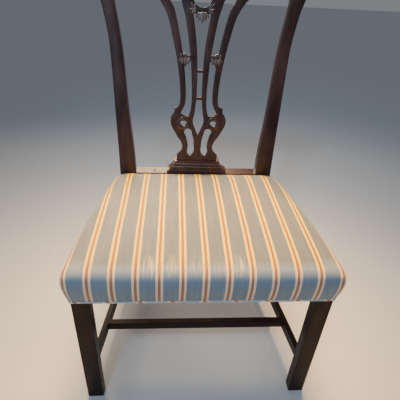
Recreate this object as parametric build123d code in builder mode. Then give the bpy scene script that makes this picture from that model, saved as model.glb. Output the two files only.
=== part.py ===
import math
import os

from build123d import *

# A side chair with a raked back, a pierced splat, stretchers and a seat stuffed over its rails.
# Millimetres, +Z up, the floor at zero. The chair faces -Y, and right is +X, as seen from the front.

# Seat frame, where depths are measured back from the front faces of the front legs
leg_spread = 555.0  # over the outer faces of the front legs
post_spread = 440.0  # over the outer faces of the rear posts, at the seat
seat_depth = 431.0  # back to the front faces of the rear posts
rail_bottom = 348.0
rail_top = 400.0
rail_thickness = 24.0
rear_rail_lip = 16.0  # of the rear rail, in front of the posts, under the stuffing
rear_rail_depth = 33.0  # of the rear rail's bare strip, behind the seat
bare_strip = 7.0  # height of that strip above the other rails

# Front legs, whose outer faces follow the splayed sides of the seat
leg_width = 38.0
leg_chamfer = 12.0  # on the inner corner, below the rails
leg_arris = 1.2  # rounding of the front edges

# Rear posts, each a leg and an upright in one piece
post_width = 44.0
post_depth = 36.0
foot_width = 38.0
foot_depth = 32.0
foot_inset = 3.0  # of the foot's outer face
foot_sweep = 48.0  # of the foot, behind the seat
sweep_top = 300.0  # height where the swept leg turns upright
rake_angle = 8.5
rake_start = 418.0  # height where the upright turns back
rake_bend = 400.0  # radius of that turn
post_length = 449.0  # up the back, from the turn to the crest rail
post_top_spread = 506.0  # over the outer faces, at the crest rail
post_top_width = 35.5
post_top_depth = 25.0

# Crest rail
crest_thickness = 24.0
crest_rise = 89.0  # of its middle, above the ends of the posts
crest_arch = 21.0  # of its underside, above the ends of the posts
ear_reach = 20.0  # beyond the posts
ear_rise = 80.0

# Splat and shoe
splat_thickness = 12.0
splat_setback = 8.1  # behind the front faces of the posts
splat_base = 58.0  # half widths of the splat, from the shoe up
splat_waist = 43.5
splat_lobe = 76.5
splat_cusp = 64.0
splat_neck = 51.0
splat_flare = 138.0
rib_rise = 250.5  # from the shoe to the upper of the two links between the ribs
link_height = 7.0
ring_eye = 7.5  # radius of the hole in each scroll
splat_tongue = 48.0  # half width of the tongue that stands in the rear rail
tongue_length = 10.0
shoe_height = 36.0
shoe_base = 86.0  # half widths of the shoe
shoe_top = 65.0
shoe_plinth = 8.0
shoe_cap = 6.0
shoe_step = 2.0  # of the hollow, inside the plinth
shoe_slope = 5.0  # of the cap's front, behind the plinth's

# Stretchers
stretcher_top = 115.0
side_stretcher_thickness = 14.0
side_stretcher_height = 26.0
side_stretcher_inset = 8.5  # of its outer face, from the front leg's outer face
cross_stretcher_depth = 131.0  # of its front face
cross_stretcher_thickness = 16.0
cross_stretcher_height = 23.0
rear_stretcher_top = 160.0
rear_stretcher_thickness = 16.0
rear_stretcher_height = 26.0
stretcher_arris = 1.0  # rounding of the long edges

# Joinery
fit_gap = 0.2  # round a tenon in its mortise
tenon_thickness = 10.0
tenon_height = 40.0
front_tenon = 26.0  # tenon lengths, named for the rail or stretcher
side_tenon = 19.0
rear_tenon = 22.0
crest_tenon = 24.0
splat_tenon = 14.0
stretcher_tenon = 18.0
stretcher_tenon_thickness = 8.0
stretcher_tenon_height = 18.0
cross_tenon = 9.0
peg_diameter = 6.0
peg_spacing = 14.0
peg_sunk = 0.6  # of a peg's end below a sloping face
block_reach = 45.0  # of a corner block along each rail
block_margin = 1.0  # of a corner block inside the rail's height
screw_diameter = 4.5
screw_head = 8.0
screw_head_height = 4.0
screw_length = 38.0
screw_point = 6.0
screw_spacing = 34.0

# Seat layers, from the rails up
webbing_width = 50.0
webbing_thickness = 1.6
webbing_pitch = 84.0
webbing_count = 4
webbing_margin = 6.0  # of a strip's end, inside the seat's outline
webbing_start = 80.0  # depth of the first cross strip
ramp_margin = 4.0  # from the side of a crossed strip to the foot of a rise
layer_gap = 0.3
hessian_thickness = 0.8
hessian_inset = 10.0
hair_inset = 30.0  # of the hair from the rails' outer faces, at the front and the sides
hair_rear_inset = 30.0
hair_front_height = 13.0
hair_rear_height = 4.0
hair_height = 22.0
hair_slope = 60.0
hair_rear_slope = 110.0
piping_diameter = 5.0
piping_bottom = 347.5
piping_corner = 3.2
dust_cover_thickness = 0.8
dust_cover_inset = 6.0
dust_cover_notch = 1.0
tack_head = 7.0
tack_head_thickness = 1.0
tack_shank = 1.8
tack_point = 0.6
tack_length = 10.0
tack_inset = 8.0  # from the end or edge of what it holds
tack_row = 16.0  # between the three tacks in a strip's end
dust_tack_pitch = 62.0

# Seat form
seat_bulge = 10.5  # of the front, past the rails
side_bulge = 4.0  # of the sides at their rear ends
hem_growth = 2.5  # of the cover's lower edge, past the rails
crown_rise = 40.0  # above the rails
crown_fall = 3.0  # from the front of the crown to its rear
dome_front = 140.0  # from the rails to the flat of the crown, at the front and sides
dome_rear = 180.0  # and at the rear
seat_round = 40.0  # corner radius of the crown, at the front
rear_round = 30.0
side_bow = 12.5  # of the sides at the shoulder, past a straight line
side_spread = 4.5  # of the sides at the shoulder's front corners
rear_clearance = 0.6  # of the cover, in front of the posts

# Values worked out from those above
rake = math.radians(rake_angle)
crest_top = post_length + crest_rise
overall_depth = (
    seat_bulge + seat_depth + crest_top * math.sin(rake) + crest_thickness * math.cos(rake)
)
front_y = seat_bulge - overall_depth / 2
leg_inner = leg_spread / 2 - leg_width
post_outer = post_spread / 2
post_inner = post_outer - post_width
splay = (leg_spread - post_spread) / 2 / seat_depth
strip_top = rail_top + bare_strip
rail_middle = (rail_bottom + rail_top) / 2
rear_rail_front = seat_depth - rear_rail_lip
post_top_z = rake_start + post_length * math.cos(rake)
splat_seat = post_length + crest_arch
tenon_span = (rail_middle - tenon_height / 2, rail_middle + tenon_height / 2)
peg_heights = (rail_middle - peg_spacing / 2, rail_middle + peg_spacing / 2)
webbing_step = webbing_thickness + layer_gap
hessian_base = rail_top + webbing_step + webbing_thickness + layer_gap
stuffing_base = hessian_base + hessian_thickness + layer_gap
hem_height = piping_bottom + piping_diameter + layer_gap


def plan(height):
    return Plane(origin=(0, front_y, height))


def side_view(x):
    return Plane(origin=(x, front_y, 0), x_dir=(0, 1, 0), z_dir=(1, 0, 0))


def front_view(depth):
    return Plane(origin=(0, front_y + depth, 0), x_dir=(1, 0, 0), z_dir=(0, -1, 0))


def side_x(depth, inside=0.0):
    # Half the seat's width at a depth, less an inset measured square to the side
    return leg_spread / 2 - splay * depth - inside * math.hypot(1, splay)


def sweep_at(height, sweep, top):
    # How far an edge that is upright at top, and swept back at the floor, lies back at a height
    radius = (top**2 + sweep**2) / (2 * sweep)
    return radius - math.sqrt(radius**2 - (top - height) ** 2)


def block(x, depth, height, grow=0.0, mode=Mode.ADD):
    # A square block between pairs of limits, larger all round by grow
    middle = (sum(x) / 2, front_y + sum(depth) / 2, sum(height) / 2)
    size = [abs(high - low) + 2 * grow for low, high in (x, depth, height)]
    with Locations(middle):
        Box(*size, mode=mode)


back_plane = Plane(
    origin=(0, front_y + seat_depth, rake_start),
    x_dir=(1, 0, 0),
    z_dir=(0, -math.cos(rake), math.sin(rake)),
)


def panel(across, up, front, thickness, grow=0.0, mode=Mode.ADD):
    # A block in the plane of the back, with its front face set back from the posts
    with BuildSketch(back_plane.offset(grow - front)) as outline:
        with Locations((sum(across) / 2, sum(up) / 2)):
            Rectangle(across[1] - across[0] + 2 * grow, up[1] - up[0] + 2 * grow)
    extrude(outline.sketch, amount=-thickness - 2 * grow, mode=mode)


def write(piece, name):
    piece.part.label = name
    export_step(piece.part, f"parts/{name}.step")


def write_pair(piece, name):
    # The piece itself is the right one
    with BuildPart() as other:
        mirror(piece.part, about=Plane.YZ)
    write(piece, f"{name}_right")
    write(other, f"{name}_left")


os.makedirs("parts", exist_ok=True)

# Tenons of the right half as limits across, back and up, shared with their mortises
front_rail_tenon = (
    (leg_inner, leg_inner + front_tenon),
    ((rail_thickness - tenon_thickness) / 2, (rail_thickness + tenon_thickness) / 2),
    tenon_span,
)
side_front_x = side_x(leg_width, rail_thickness / 2)
side_front_tenon = (
    (side_front_x - tenon_thickness / 2, side_front_x + tenon_thickness / 2),
    (leg_width - side_tenon, leg_width),
    tenon_span,
)
side_rear_x = side_x(seat_depth, rail_thickness / 2)
side_rear_tenon = (
    (side_rear_x - tenon_thickness / 2, side_rear_x + tenon_thickness / 2),
    (seat_depth, seat_depth + side_tenon),
    tenon_span,
)
rear_tenon_middle = seat_depth + post_depth / 2
rear_rail_tenon = (
    (post_inner, post_inner + rear_tenon),
    (rear_tenon_middle - tenon_thickness / 2, rear_tenon_middle + tenon_thickness / 2),
    tenon_span,
)
stretcher_middle = stretcher_top - side_stretcher_height / 2
stretcher_span = (
    stretcher_middle - stretcher_tenon_height / 2,
    stretcher_middle + stretcher_tenon_height / 2,
)
stretcher_front_x = side_x(leg_width) - side_stretcher_inset - side_stretcher_thickness / 2
foot_middle_x = post_outer - foot_inset - foot_width / 2
stretcher_rear_depth = seat_depth + sweep_at(stretcher_middle, foot_sweep, sweep_top)
stretcher_front_tenon = (
    (
        stretcher_front_x - stretcher_tenon_thickness / 2,
        stretcher_front_x + stretcher_tenon_thickness / 2,
    ),
    (leg_width - stretcher_tenon, leg_width),
    stretcher_span,
)
stretcher_rear_tenon = (
    (foot_middle_x - stretcher_tenon_thickness / 2, foot_middle_x + stretcher_tenon_thickness / 2),
    (stretcher_rear_depth - stretcher_tenon / 2, stretcher_rear_depth + stretcher_tenon),
    stretcher_span,
)
rear_stretcher_middle = rear_stretcher_top - rear_stretcher_height / 2
rear_stretcher_depth = (
    seat_depth + post_depth / 2 + sweep_at(rear_stretcher_middle, foot_sweep, sweep_top)
)
post_share = rear_stretcher_middle / rail_bottom
post_inner_low = post_outer - foot_inset - foot_width
rear_stretcher_x = post_inner_low + (post_inner - post_inner_low) * post_share
rear_stretcher_tenon = (
    (rear_stretcher_x - stretcher_tenon / 2, rear_stretcher_x + stretcher_tenon),
    (
        rear_stretcher_depth - stretcher_tenon_thickness / 2,
        rear_stretcher_depth + stretcher_tenon_thickness / 2,
    ),
    (
        rear_stretcher_middle - stretcher_tenon_height / 2,
        rear_stretcher_middle + stretcher_tenon_height / 2,
    ),
)


def stretcher_x(depth):
    # The middle line of the right side stretcher
    run = (stretcher_front_x - foot_middle_x) / (stretcher_rear_depth - leg_width)
    return stretcher_front_x - run * (depth - leg_width)


cross_middle = cross_stretcher_depth + cross_stretcher_thickness / 2
cross_end_x = stretcher_x(cross_middle) - side_stretcher_thickness / 2
cross_height = stretcher_top - cross_stretcher_height / 2
cross_stretcher_tenon = (
    (cross_end_x - cross_tenon, cross_end_x + cross_tenon),
    (
        cross_middle - stretcher_tenon_thickness / 2,
        cross_middle + stretcher_tenon_thickness / 2,
    ),
    (cross_height - stretcher_tenon_height / 2, cross_height + stretcher_tenon_height / 2),
)
crest_tenon_across = (
    (post_top_spread - post_top_width - post_top_width / 2) / 2,
    (post_top_spread - post_top_width + post_top_width / 2) / 2,
)
crest_tenon_up = (post_length, post_length + crest_tenon)
crest_tenon_front = (crest_thickness - tenon_thickness) / 2
splat_tenon_across = (-splat_flare * 3 / 4, splat_flare * 3 / 4)
splat_tenon_up = (splat_seat, splat_seat + splat_tenon)
splat_tenon_front = splat_setback + splat_thickness / 4


def peg(start, direction, length):
    with Locations(Plane(origin=start, z_dir=direction).location):
        Cylinder(peg_diameter / 2, length, align=(Align.CENTER, Align.CENTER, Align.MIN))


# Pegs through the rails' tenons, driven from the outer faces of legs and posts
with BuildPart() as rail_pegs:
    front_peg_x = leg_inner + front_tenon / 2 - peg_diameter / 2
    front_peg_length = (rail_thickness + tenon_thickness) / 2 + peg_sunk
    side_front_depth = leg_width - side_tenon / 2
    side_front_length = side_x(side_front_depth) - side_front_tenon[0][0]
    side_rear_depth = seat_depth + side_tenon / 2
    side_rear_length = post_outer - side_rear_tenon[0][0]
    rear_peg_x = post_inner + rear_tenon / 2
    rear_peg_length = (post_depth + tenon_thickness) / 2 + peg_sunk
    for hand in (-1, 1):
        for height in peg_heights:
            peg((hand * front_peg_x, front_y, height), (0, 1, 0), front_peg_length)
            peg(
                (hand * (side_x(side_front_depth) - peg_sunk), front_y + side_front_depth, height),
                (-hand, 0, 0),
                side_front_length,
            )
            peg(
                (hand * (post_outer - peg_sunk), front_y + side_rear_depth, height),
                (-hand, 0, 0),
                side_rear_length,
            )
            peg(
                (hand * rear_peg_x, front_y + seat_depth + post_depth - peg_sunk, height),
                (0, -1, 0),
                rear_peg_length,
            )
write(rail_pegs, "rail_pegs")

# Pegs through the stretchers' tenons, one to each joint with a leg
with BuildPart() as stretcher_pegs:
    low_front_depth = leg_width - stretcher_tenon / 2
    low_front_length = side_x(low_front_depth) - stretcher_front_tenon[0][0]
    low_rear_depth = stretcher_rear_depth + stretcher_tenon / 2
    low_post_outer = post_outer - foot_inset * (1 - stretcher_middle / rail_bottom)
    low_rear_length = low_post_outer - stretcher_rear_tenon[0][0]
    rear_peg_start = rear_stretcher_depth + post_depth / 2
    for hand in (-1, 1):
        peg(
            (hand * (side_x(low_front_depth) - peg_sunk), front_y + low_front_depth, stretcher_middle),
            (-hand, 0, 0),
            low_front_length,
        )
        peg(
            (hand * (low_post_outer - peg_sunk), front_y + low_rear_depth, stretcher_middle),
            (-hand, 0, 0),
            low_rear_length,
        )
        peg(
            (
                hand * (rear_stretcher_x + stretcher_tenon / 2),
                front_y + rear_peg_start - 4 * peg_sunk,
                rear_stretcher_middle,
            ),
            (0, -1, 0),
            (post_depth + stretcher_tenon_thickness) / 2,
        )
write(stretcher_pegs, "stretcher_pegs")

# Outlines of the right corner blocks, notched round the leg or post, and the corner that each
# screw is driven at
front_block = [
    (leg_inner - block_reach, rail_thickness),
    (leg_inner, rail_thickness),
    (leg_inner, leg_width),
    (side_x(leg_width, rail_thickness), leg_width),
    (side_x(leg_width + block_reach, rail_thickness), leg_width + block_reach),
]
rear_block = [
    (post_inner - block_reach, rear_rail_front),
    (post_inner, rear_rail_front),
    (post_inner, seat_depth),
    (side_x(seat_depth, rail_thickness), seat_depth),
    (side_x(seat_depth - block_reach, rail_thickness), seat_depth - block_reach),
]


def screw(start, direction):
    line = Plane(origin=start, z_dir=direction)
    low = (Align.CENTER, Align.CENTER, Align.MIN)
    shank = screw_length - screw_head_height - screw_point
    with Locations(line.location):
        Cone(screw_head / 2, screw_diameter / 2, screw_head_height, align=low)
    with Locations(line.offset(screw_head_height).location):
        Cylinder(screw_diameter / 2, shank, align=low)
    with Locations(line.offset(screw_length - screw_point).location):
        Cone(screw_diameter / 2, screw_diameter / 8, screw_point, align=low)


# Countersunk screws, two to each corner block, square to its open face
with BuildPart() as corner_block_screws:
    for outline in (front_block, rear_block):
        start = (Vector(*outline[0]) + Vector(*outline[-1])) / 2
        along = Vector(*outline[-1]) - Vector(*outline[0])
        inward = Vector(along.Y, -along.X).normalized()
        if inward.dot(Vector(*outline[2]) - start) < 0:
            inward = inward * -1
        for hand in (-1, 1):
            for height in (rail_middle - screw_spacing / 2, rail_middle + screw_spacing / 2):
                screw(
                    (hand * start.X, front_y + start.Y, height),
                    (hand * inward.X, inward.Y, 0),
                )
write(corner_block_screws, "corner_block_screws")

for outline, name in ((front_block, "front_corner_block"), (rear_block, "rear_corner_block")):
    with BuildPart() as corner_block:
        with BuildSketch(plan(rail_bottom + block_margin)):
            with BuildLine():
                Polyline(*outline, close=True)
            make_face()
        extrude(amount=rail_top - rail_bottom - 2 * block_margin)
        add(corner_block_screws.part, mode=Mode.SUBTRACT)
    write_pair(corner_block, name)

# Middle lines of the webbing strips
strip_places = [(i - (webbing_count - 1) / 2) * webbing_pitch for i in range(webbing_count)]
cross_depths = [webbing_start + i * webbing_pitch for i in range(webbing_count)]


def cross_end(depth):
    # Half the length of a cross strip, square at its ends
    return side_x(depth + webbing_width / 2) - webbing_margin


length_ends = (webbing_margin, seat_depth - webbing_margin)
tack_spots = [
    (place + step * tack_row, end)
    for place in strip_places
    for end in (length_ends[0] + tack_inset, length_ends[1] - tack_inset / 2)
    for step in (-1, 0, 1)
] + [
    (hand * (cross_end(depth) - tack_inset), depth + step * tack_row)
    for depth in cross_depths
    for hand in (-1, 1)
    for step in (-1, 0, 1)
]


# Three tacks in each end of each webbing strip
with BuildPart() as webbing_tacks:
    seats = [(x, front_y + depth, rail_top + webbing_thickness) for x, depth in tack_spots]
    with Locations(*seats):
        Cylinder(
            tack_head / 2, tack_head_thickness, align=(Align.CENTER, Align.CENTER, Align.MIN)
        )
        Cone(
            tack_point / 2,
            tack_shank / 2,
            tack_length,
            align=(Align.CENTER, Align.CENTER, Align.MAX),
        )
write(webbing_tacks, "webbing_tacks")

# Tacks round the edge of the dust cover, evenly spaced along each rail
dust_line = dust_cover_inset + tack_inset


def even(low, high):
    count = max(2, round((high - low) / dust_tack_pitch) + 1)
    return [low + (high - low) * i / (count - 1) for i in range(count)]


rear_dust_depth = seat_depth + rear_rail_depth / 2
front_reach = leg_inner - dust_line
rear_reach = post_inner - dust_line
dust_spots = [(x, dust_line) for x in even(-front_reach, front_reach)]
dust_spots += [(x, rear_dust_depth) for x in even(-rear_reach, rear_reach)]
for depth in even(leg_width + dust_line, seat_depth - dust_line):
    dust_spots += [(hand * side_x(depth, dust_line), depth) for hand in (-1, 1)]

with BuildPart() as dust_cover_tacks:
    seats = [(x, front_y + depth, rail_bottom - dust_cover_thickness) for x, depth in dust_spots]
    with Locations(*seats):
        Cylinder(
            tack_head / 2, tack_head_thickness, align=(Align.CENTER, Align.CENTER, Align.MAX)
        )
        Cone(
            tack_shank / 2,
            tack_point / 2,
            tack_length,
            align=(Align.CENTER, Align.CENTER, Align.MIN),
        )
write(dust_cover_tacks, "dust_cover_tacks")

# Front leg, square above the chamfer so that the rails meet it flat
with BuildPart() as front_leg:
    with BuildSketch(plan(0)):
        with BuildLine():
            Polyline(
                (leg_inner, 0),
                (leg_spread / 2, 0),
                (side_x(leg_width), leg_width),
                (leg_inner + leg_chamfer, leg_width),
                (leg_inner, leg_width - leg_chamfer),
                close=True,
            )
        make_face()
    extrude(amount=rail_bottom)
    with BuildSketch(plan(rail_bottom)):
        with BuildLine():
            Polyline(
                (leg_inner, 0),
                (leg_spread / 2, 0),
                (side_x(leg_width), leg_width),
                (leg_inner, leg_width),
                close=True,
            )
        make_face()
    extrude(amount=rail_top - rail_bottom)
    fillet(front_leg.edges().filter_by(Axis.Z).group_by(Axis.Y)[0], leg_arris)
    for tenon in (front_rail_tenon, side_front_tenon, stretcher_front_tenon):
        block(*tenon, grow=fit_gap, mode=Mode.SUBTRACT)
    for fastener in (rail_pegs, stretcher_pegs, corner_block_screws):
        add(fastener.part, mode=Mode.SUBTRACT)
write_pair(front_leg, "front_leg")

with BuildPart() as front_seat_rail:
    block((-leg_inner, leg_inner), (0, rail_thickness), (rail_bottom, rail_top))
    for hand in (-1, 1):
        across, depth, height = front_rail_tenon
        block((hand * across[0], hand * across[1]), depth, height)
    for fastener in (rail_pegs, webbing_tacks, dust_cover_tacks):
        add(fastener.part, mode=Mode.SUBTRACT)
write(front_seat_rail, "front_seat_rail")

with BuildPart() as side_seat_rail:
    with BuildSketch(plan(rail_bottom)):
        with BuildLine():
            Polyline(
                (side_x(leg_width), leg_width),
                (side_x(seat_depth), seat_depth),
                (side_x(seat_depth, rail_thickness), seat_depth),
                (side_x(leg_width, rail_thickness), leg_width),
                close=True,
            )
        make_face()
    extrude(amount=rail_top - rail_bottom)
    block(*side_front_tenon)
    block(*side_rear_tenon)
    for fastener in (rail_pegs, webbing_tacks, dust_cover_tacks):
        add(fastener.part, mode=Mode.SUBTRACT)
write_pair(side_seat_rail, "side_seat_rail")

# Places up the back where the splat's parts begin
shoe_z = strip_top + shoe_height
splat_foot = splat_setback * math.sin(rake)  # height lost by standing behind the posts' faces
base_up = (shoe_z - rake_start + splat_foot) / math.cos(rake)
tongue_up = (strip_top - tongue_length - rake_start + splat_foot) / math.cos(rake)

# The rear rail stands above the others behind the seat, and holds the splat's tongue
with BuildPart() as rear_seat_rail:
    rail_back = seat_depth + rear_rail_depth
    block((-post_inner, post_inner), (rear_rail_front, rail_back), (rail_bottom, rail_top))
    block((-post_inner, post_inner), (seat_depth, rail_back), (rail_top, strip_top))
    for hand in (-1, 1):
        across, depth, height = rear_rail_tenon
        block((hand * across[0], hand * across[1]), depth, height)
    panel(
        (-splat_tongue, splat_tongue),
        (tongue_up, base_up),
        splat_setback,
        splat_thickness,
        grow=fit_gap,
        mode=Mode.SUBTRACT,
    )
    for fastener in (rail_pegs, webbing_tacks, dust_cover_tacks, corner_block_screws):
        add(fastener.part, mode=Mode.SUBTRACT)
write(rear_seat_rail, "rear_seat_rail")

# Rear post: its side outline sawn from a plank, cut to its front outline
top_front = (
    seat_depth + post_length * math.sin(rake),
    post_top_z,
)
top_back = (
    top_front[0] + post_top_depth * math.cos(rake),
    top_front[1] - post_top_depth * math.sin(rake),
)
back_rise = post_top_z - strip_top
outer_flare = post_top_spread / 2 - post_outer
inner_flare = post_top_spread / 2 - post_top_width - post_inner
with BuildPart() as post_blank:
    with BuildSketch(side_view(0)):
        with BuildLine():
            foot_front = (seat_depth + foot_sweep, 0)
            foot_back = (seat_depth + foot_sweep + foot_depth, 0)
            back_edge = seat_depth + post_depth
            TangentArc((seat_depth, sweep_top), foot_front, tangent=(0, -1))
            FilletPolyline(
                (seat_depth, sweep_top),
                (seat_depth, rake_start),
                top_front,
                radius=rake_bend,
            )
            Line(top_front, top_back)
            FilletPolyline(
                top_back,
                (back_edge, rake_start),
                (back_edge, sweep_top),
                radius=rake_bend,
            )
            TangentArc((back_edge, sweep_top), foot_back, tangent=(0, -1))
            Line(foot_back, foot_front)
        make_face()
    extrude(amount=post_top_spread)
    with BuildSketch(front_view(0)):
        with BuildLine():
            above = post_top_z + crest_rise
            outer = Spline(
                (post_outer, strip_top),
                (post_outer + 0.14 * outer_flare, strip_top + 0.39 * back_rise),
                (post_outer + 0.31 * outer_flare, strip_top + 0.73 * back_rise),
                (post_outer + 0.71 * outer_flare, strip_top + 0.93 * back_rise),
                (post_outer + outer_flare, post_top_z),
            )
            inner = Spline(
                (post_inner, strip_top),
                (post_inner + 0.34 * inner_flare, strip_top + 0.39 * back_rise),
                (post_inner + 0.59 * inner_flare, strip_top + 0.73 * back_rise),
                (post_inner + 0.89 * inner_flare, strip_top + 0.93 * back_rise),
                (post_inner + inner_flare, post_top_z),
            )
            Polyline(outer @ 1, ((outer @ 1).X, above), ((inner @ 1).X, above), inner @ 1)
            Polyline(
                outer @ 0,
                (post_outer, rail_bottom),
                (post_outer - foot_inset, 0),
                (post_outer - foot_inset - foot_width, 0),
                (post_inner, rail_bottom),
                inner @ 0,
            )
        make_face()
    extrude(amount=-overall_depth, mode=Mode.INTERSECT)

with BuildPart() as rear_post:
    add(post_blank.part)
    panel(crest_tenon_across, crest_tenon_up, crest_tenon_front, tenon_thickness)
    for tenon in (side_rear_tenon, rear_rail_tenon, stretcher_rear_tenon, rear_stretcher_tenon):
        block(*tenon, grow=fit_gap, mode=Mode.SUBTRACT)
    for fastener in (rail_pegs, stretcher_pegs, corner_block_screws):
        add(fastener.part, mode=Mode.SUBTRACT)
write_pair(rear_post, "rear_post")

# Stretchers, shouldered against the curved legs
with BuildPart() as side_stretcher:
    half = side_stretcher_thickness / 2
    far = stretcher_rear_depth + foot_depth / 2
    with BuildSketch(plan(stretcher_top - side_stretcher_height)):
        with BuildLine():
            Polyline(
                (stretcher_x(leg_width) - half, leg_width),
                (stretcher_x(leg_width) + half, leg_width),
                (stretcher_x(far) + half, far),
                (stretcher_x(far) - half, far),
                close=True,
            )
        make_face()
    extrude(amount=side_stretcher_height)
    add(post_blank.part, mode=Mode.SUBTRACT)
    fillet(side_stretcher.edges().sort_by(SortBy.LENGTH)[-4:], stretcher_arris)
    block(*stretcher_front_tenon)
    block(*stretcher_rear_tenon)
    block(*cross_stretcher_tenon, grow=fit_gap, mode=Mode.SUBTRACT)
    add(stretcher_pegs.part, mode=Mode.SUBTRACT)
write_pair(side_stretcher, "side_stretcher")

with BuildPart() as cross_stretcher:
    with BuildSketch(plan(stretcher_top - cross_stretcher_height)):
        with BuildLine():
            cross_back = cross_stretcher_depth + cross_stretcher_thickness
            near_x = stretcher_x(cross_stretcher_depth) - side_stretcher_thickness / 2
            far_x = stretcher_x(cross_back) - side_stretcher_thickness / 2
            Polyline(
                (-near_x, cross_stretcher_depth),
                (near_x, cross_stretcher_depth),
                (far_x, cross_back),
                (-far_x, cross_back),
                close=True,
            )
        make_face()
    extrude(amount=cross_stretcher_height)
    fillet(cross_stretcher.edges().filter_by(Axis.X), stretcher_arris)
    for hand in (-1, 1):
        across, depth, height = cross_stretcher_tenon
        block((hand * across[0], hand * across[1]), depth, height)
write(cross_stretcher, "cross_stretcher")

with BuildPart() as rear_stretcher:
    block(
        (-post_spread / 2, post_spread / 2),
        (
            rear_stretcher_depth - rear_stretcher_thickness / 2,
            rear_stretcher_depth + rear_stretcher_thickness / 2,
        ),
        (rear_stretcher_top - rear_stretcher_height, rear_stretcher_top),
    )
    split(bisect_by=Plane.YZ)
    add(post_blank.part, mode=Mode.SUBTRACT)
    keep = rear_stretcher.solids().sort_by(Axis.X)[0]
with BuildPart() as rear_stretcher:
    add(keep)
    fillet(rear_stretcher.edges().filter_by(Axis.X), stretcher_arris)
    block(*rear_stretcher_tenon)
    mirror(about=Plane.YZ)
    add(stretcher_pegs.part, mode=Mode.SUBTRACT)
write(rear_stretcher, "rear_stretcher")

# Shoe: plinth, hollow and cap, carried round the front and the ends, and slotted for the splat
with BuildPart() as splat_shoe:
    plinth_top = strip_top + shoe_plinth
    cap_bottom = shoe_z - shoe_cap
    with BuildSketch(front_view(seat_depth)):
        with BuildLine():
            Polyline(
                (0, strip_top),
                (shoe_base, strip_top),
                (shoe_base, plinth_top),
                (shoe_base - shoe_step, plinth_top),
            )
            TangentArc((shoe_top, cap_bottom), (shoe_base - shoe_step, plinth_top), tangent=(0.15, -1))
            Polyline((shoe_top, cap_bottom), (shoe_top, shoe_z), (0, shoe_z))
            mirror(about=Plane.YZ)
        make_face()
    extrude(amount=-rear_rail_depth)
    with BuildSketch(side_view(0)):
        with BuildLine():
            shoe_back = seat_depth + rear_rail_depth
            step_front = seat_depth + shoe_step
            cap_front = seat_depth + shoe_slope
            Polyline(
                (cap_front, cap_bottom),
                (cap_front, shoe_z),
                (shoe_back, shoe_z),
                (shoe_back, strip_top),
                (seat_depth, strip_top),
                (seat_depth, plinth_top),
                (step_front, plinth_top),
            )
            TangentArc((cap_front, cap_bottom), (step_front, plinth_top), tangent=(-0.05, -1))
        make_face()
    extrude(amount=shoe_base, both=True, mode=Mode.INTERSECT)
    panel(
        (-splat_base, splat_base),
        (tongue_up, base_up + shoe_height),
        splat_setback,
        splat_thickness,
        grow=fit_gap,
        mode=Mode.SUBTRACT,
    )
write(splat_shoe, "splat_shoe")

# The splat's ribs rise from the scrolls to the upper link, and from there spread to the crest rail
flare_up = base_up + rib_rise
flare_rise = splat_seat - flare_up


def scroll(across, up):
    # A point beside the scrolls, as shares of the lobe's half width and of the ribs' rise
    return (across * splat_lobe, base_up + up * rib_rise)


def flare(across, up):
    # A point above them, as shares of the half width at the crest rail and of the flare's height
    return (across * splat_flare, flare_up + up * flare_rise)


low_link = base_up + 0.69 * rib_rise
crosspiece = (flare_up + 0.69 * flare_rise, flare_up + 0.763 * flare_rise)
oval_height = 0.197 * flare_rise

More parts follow.
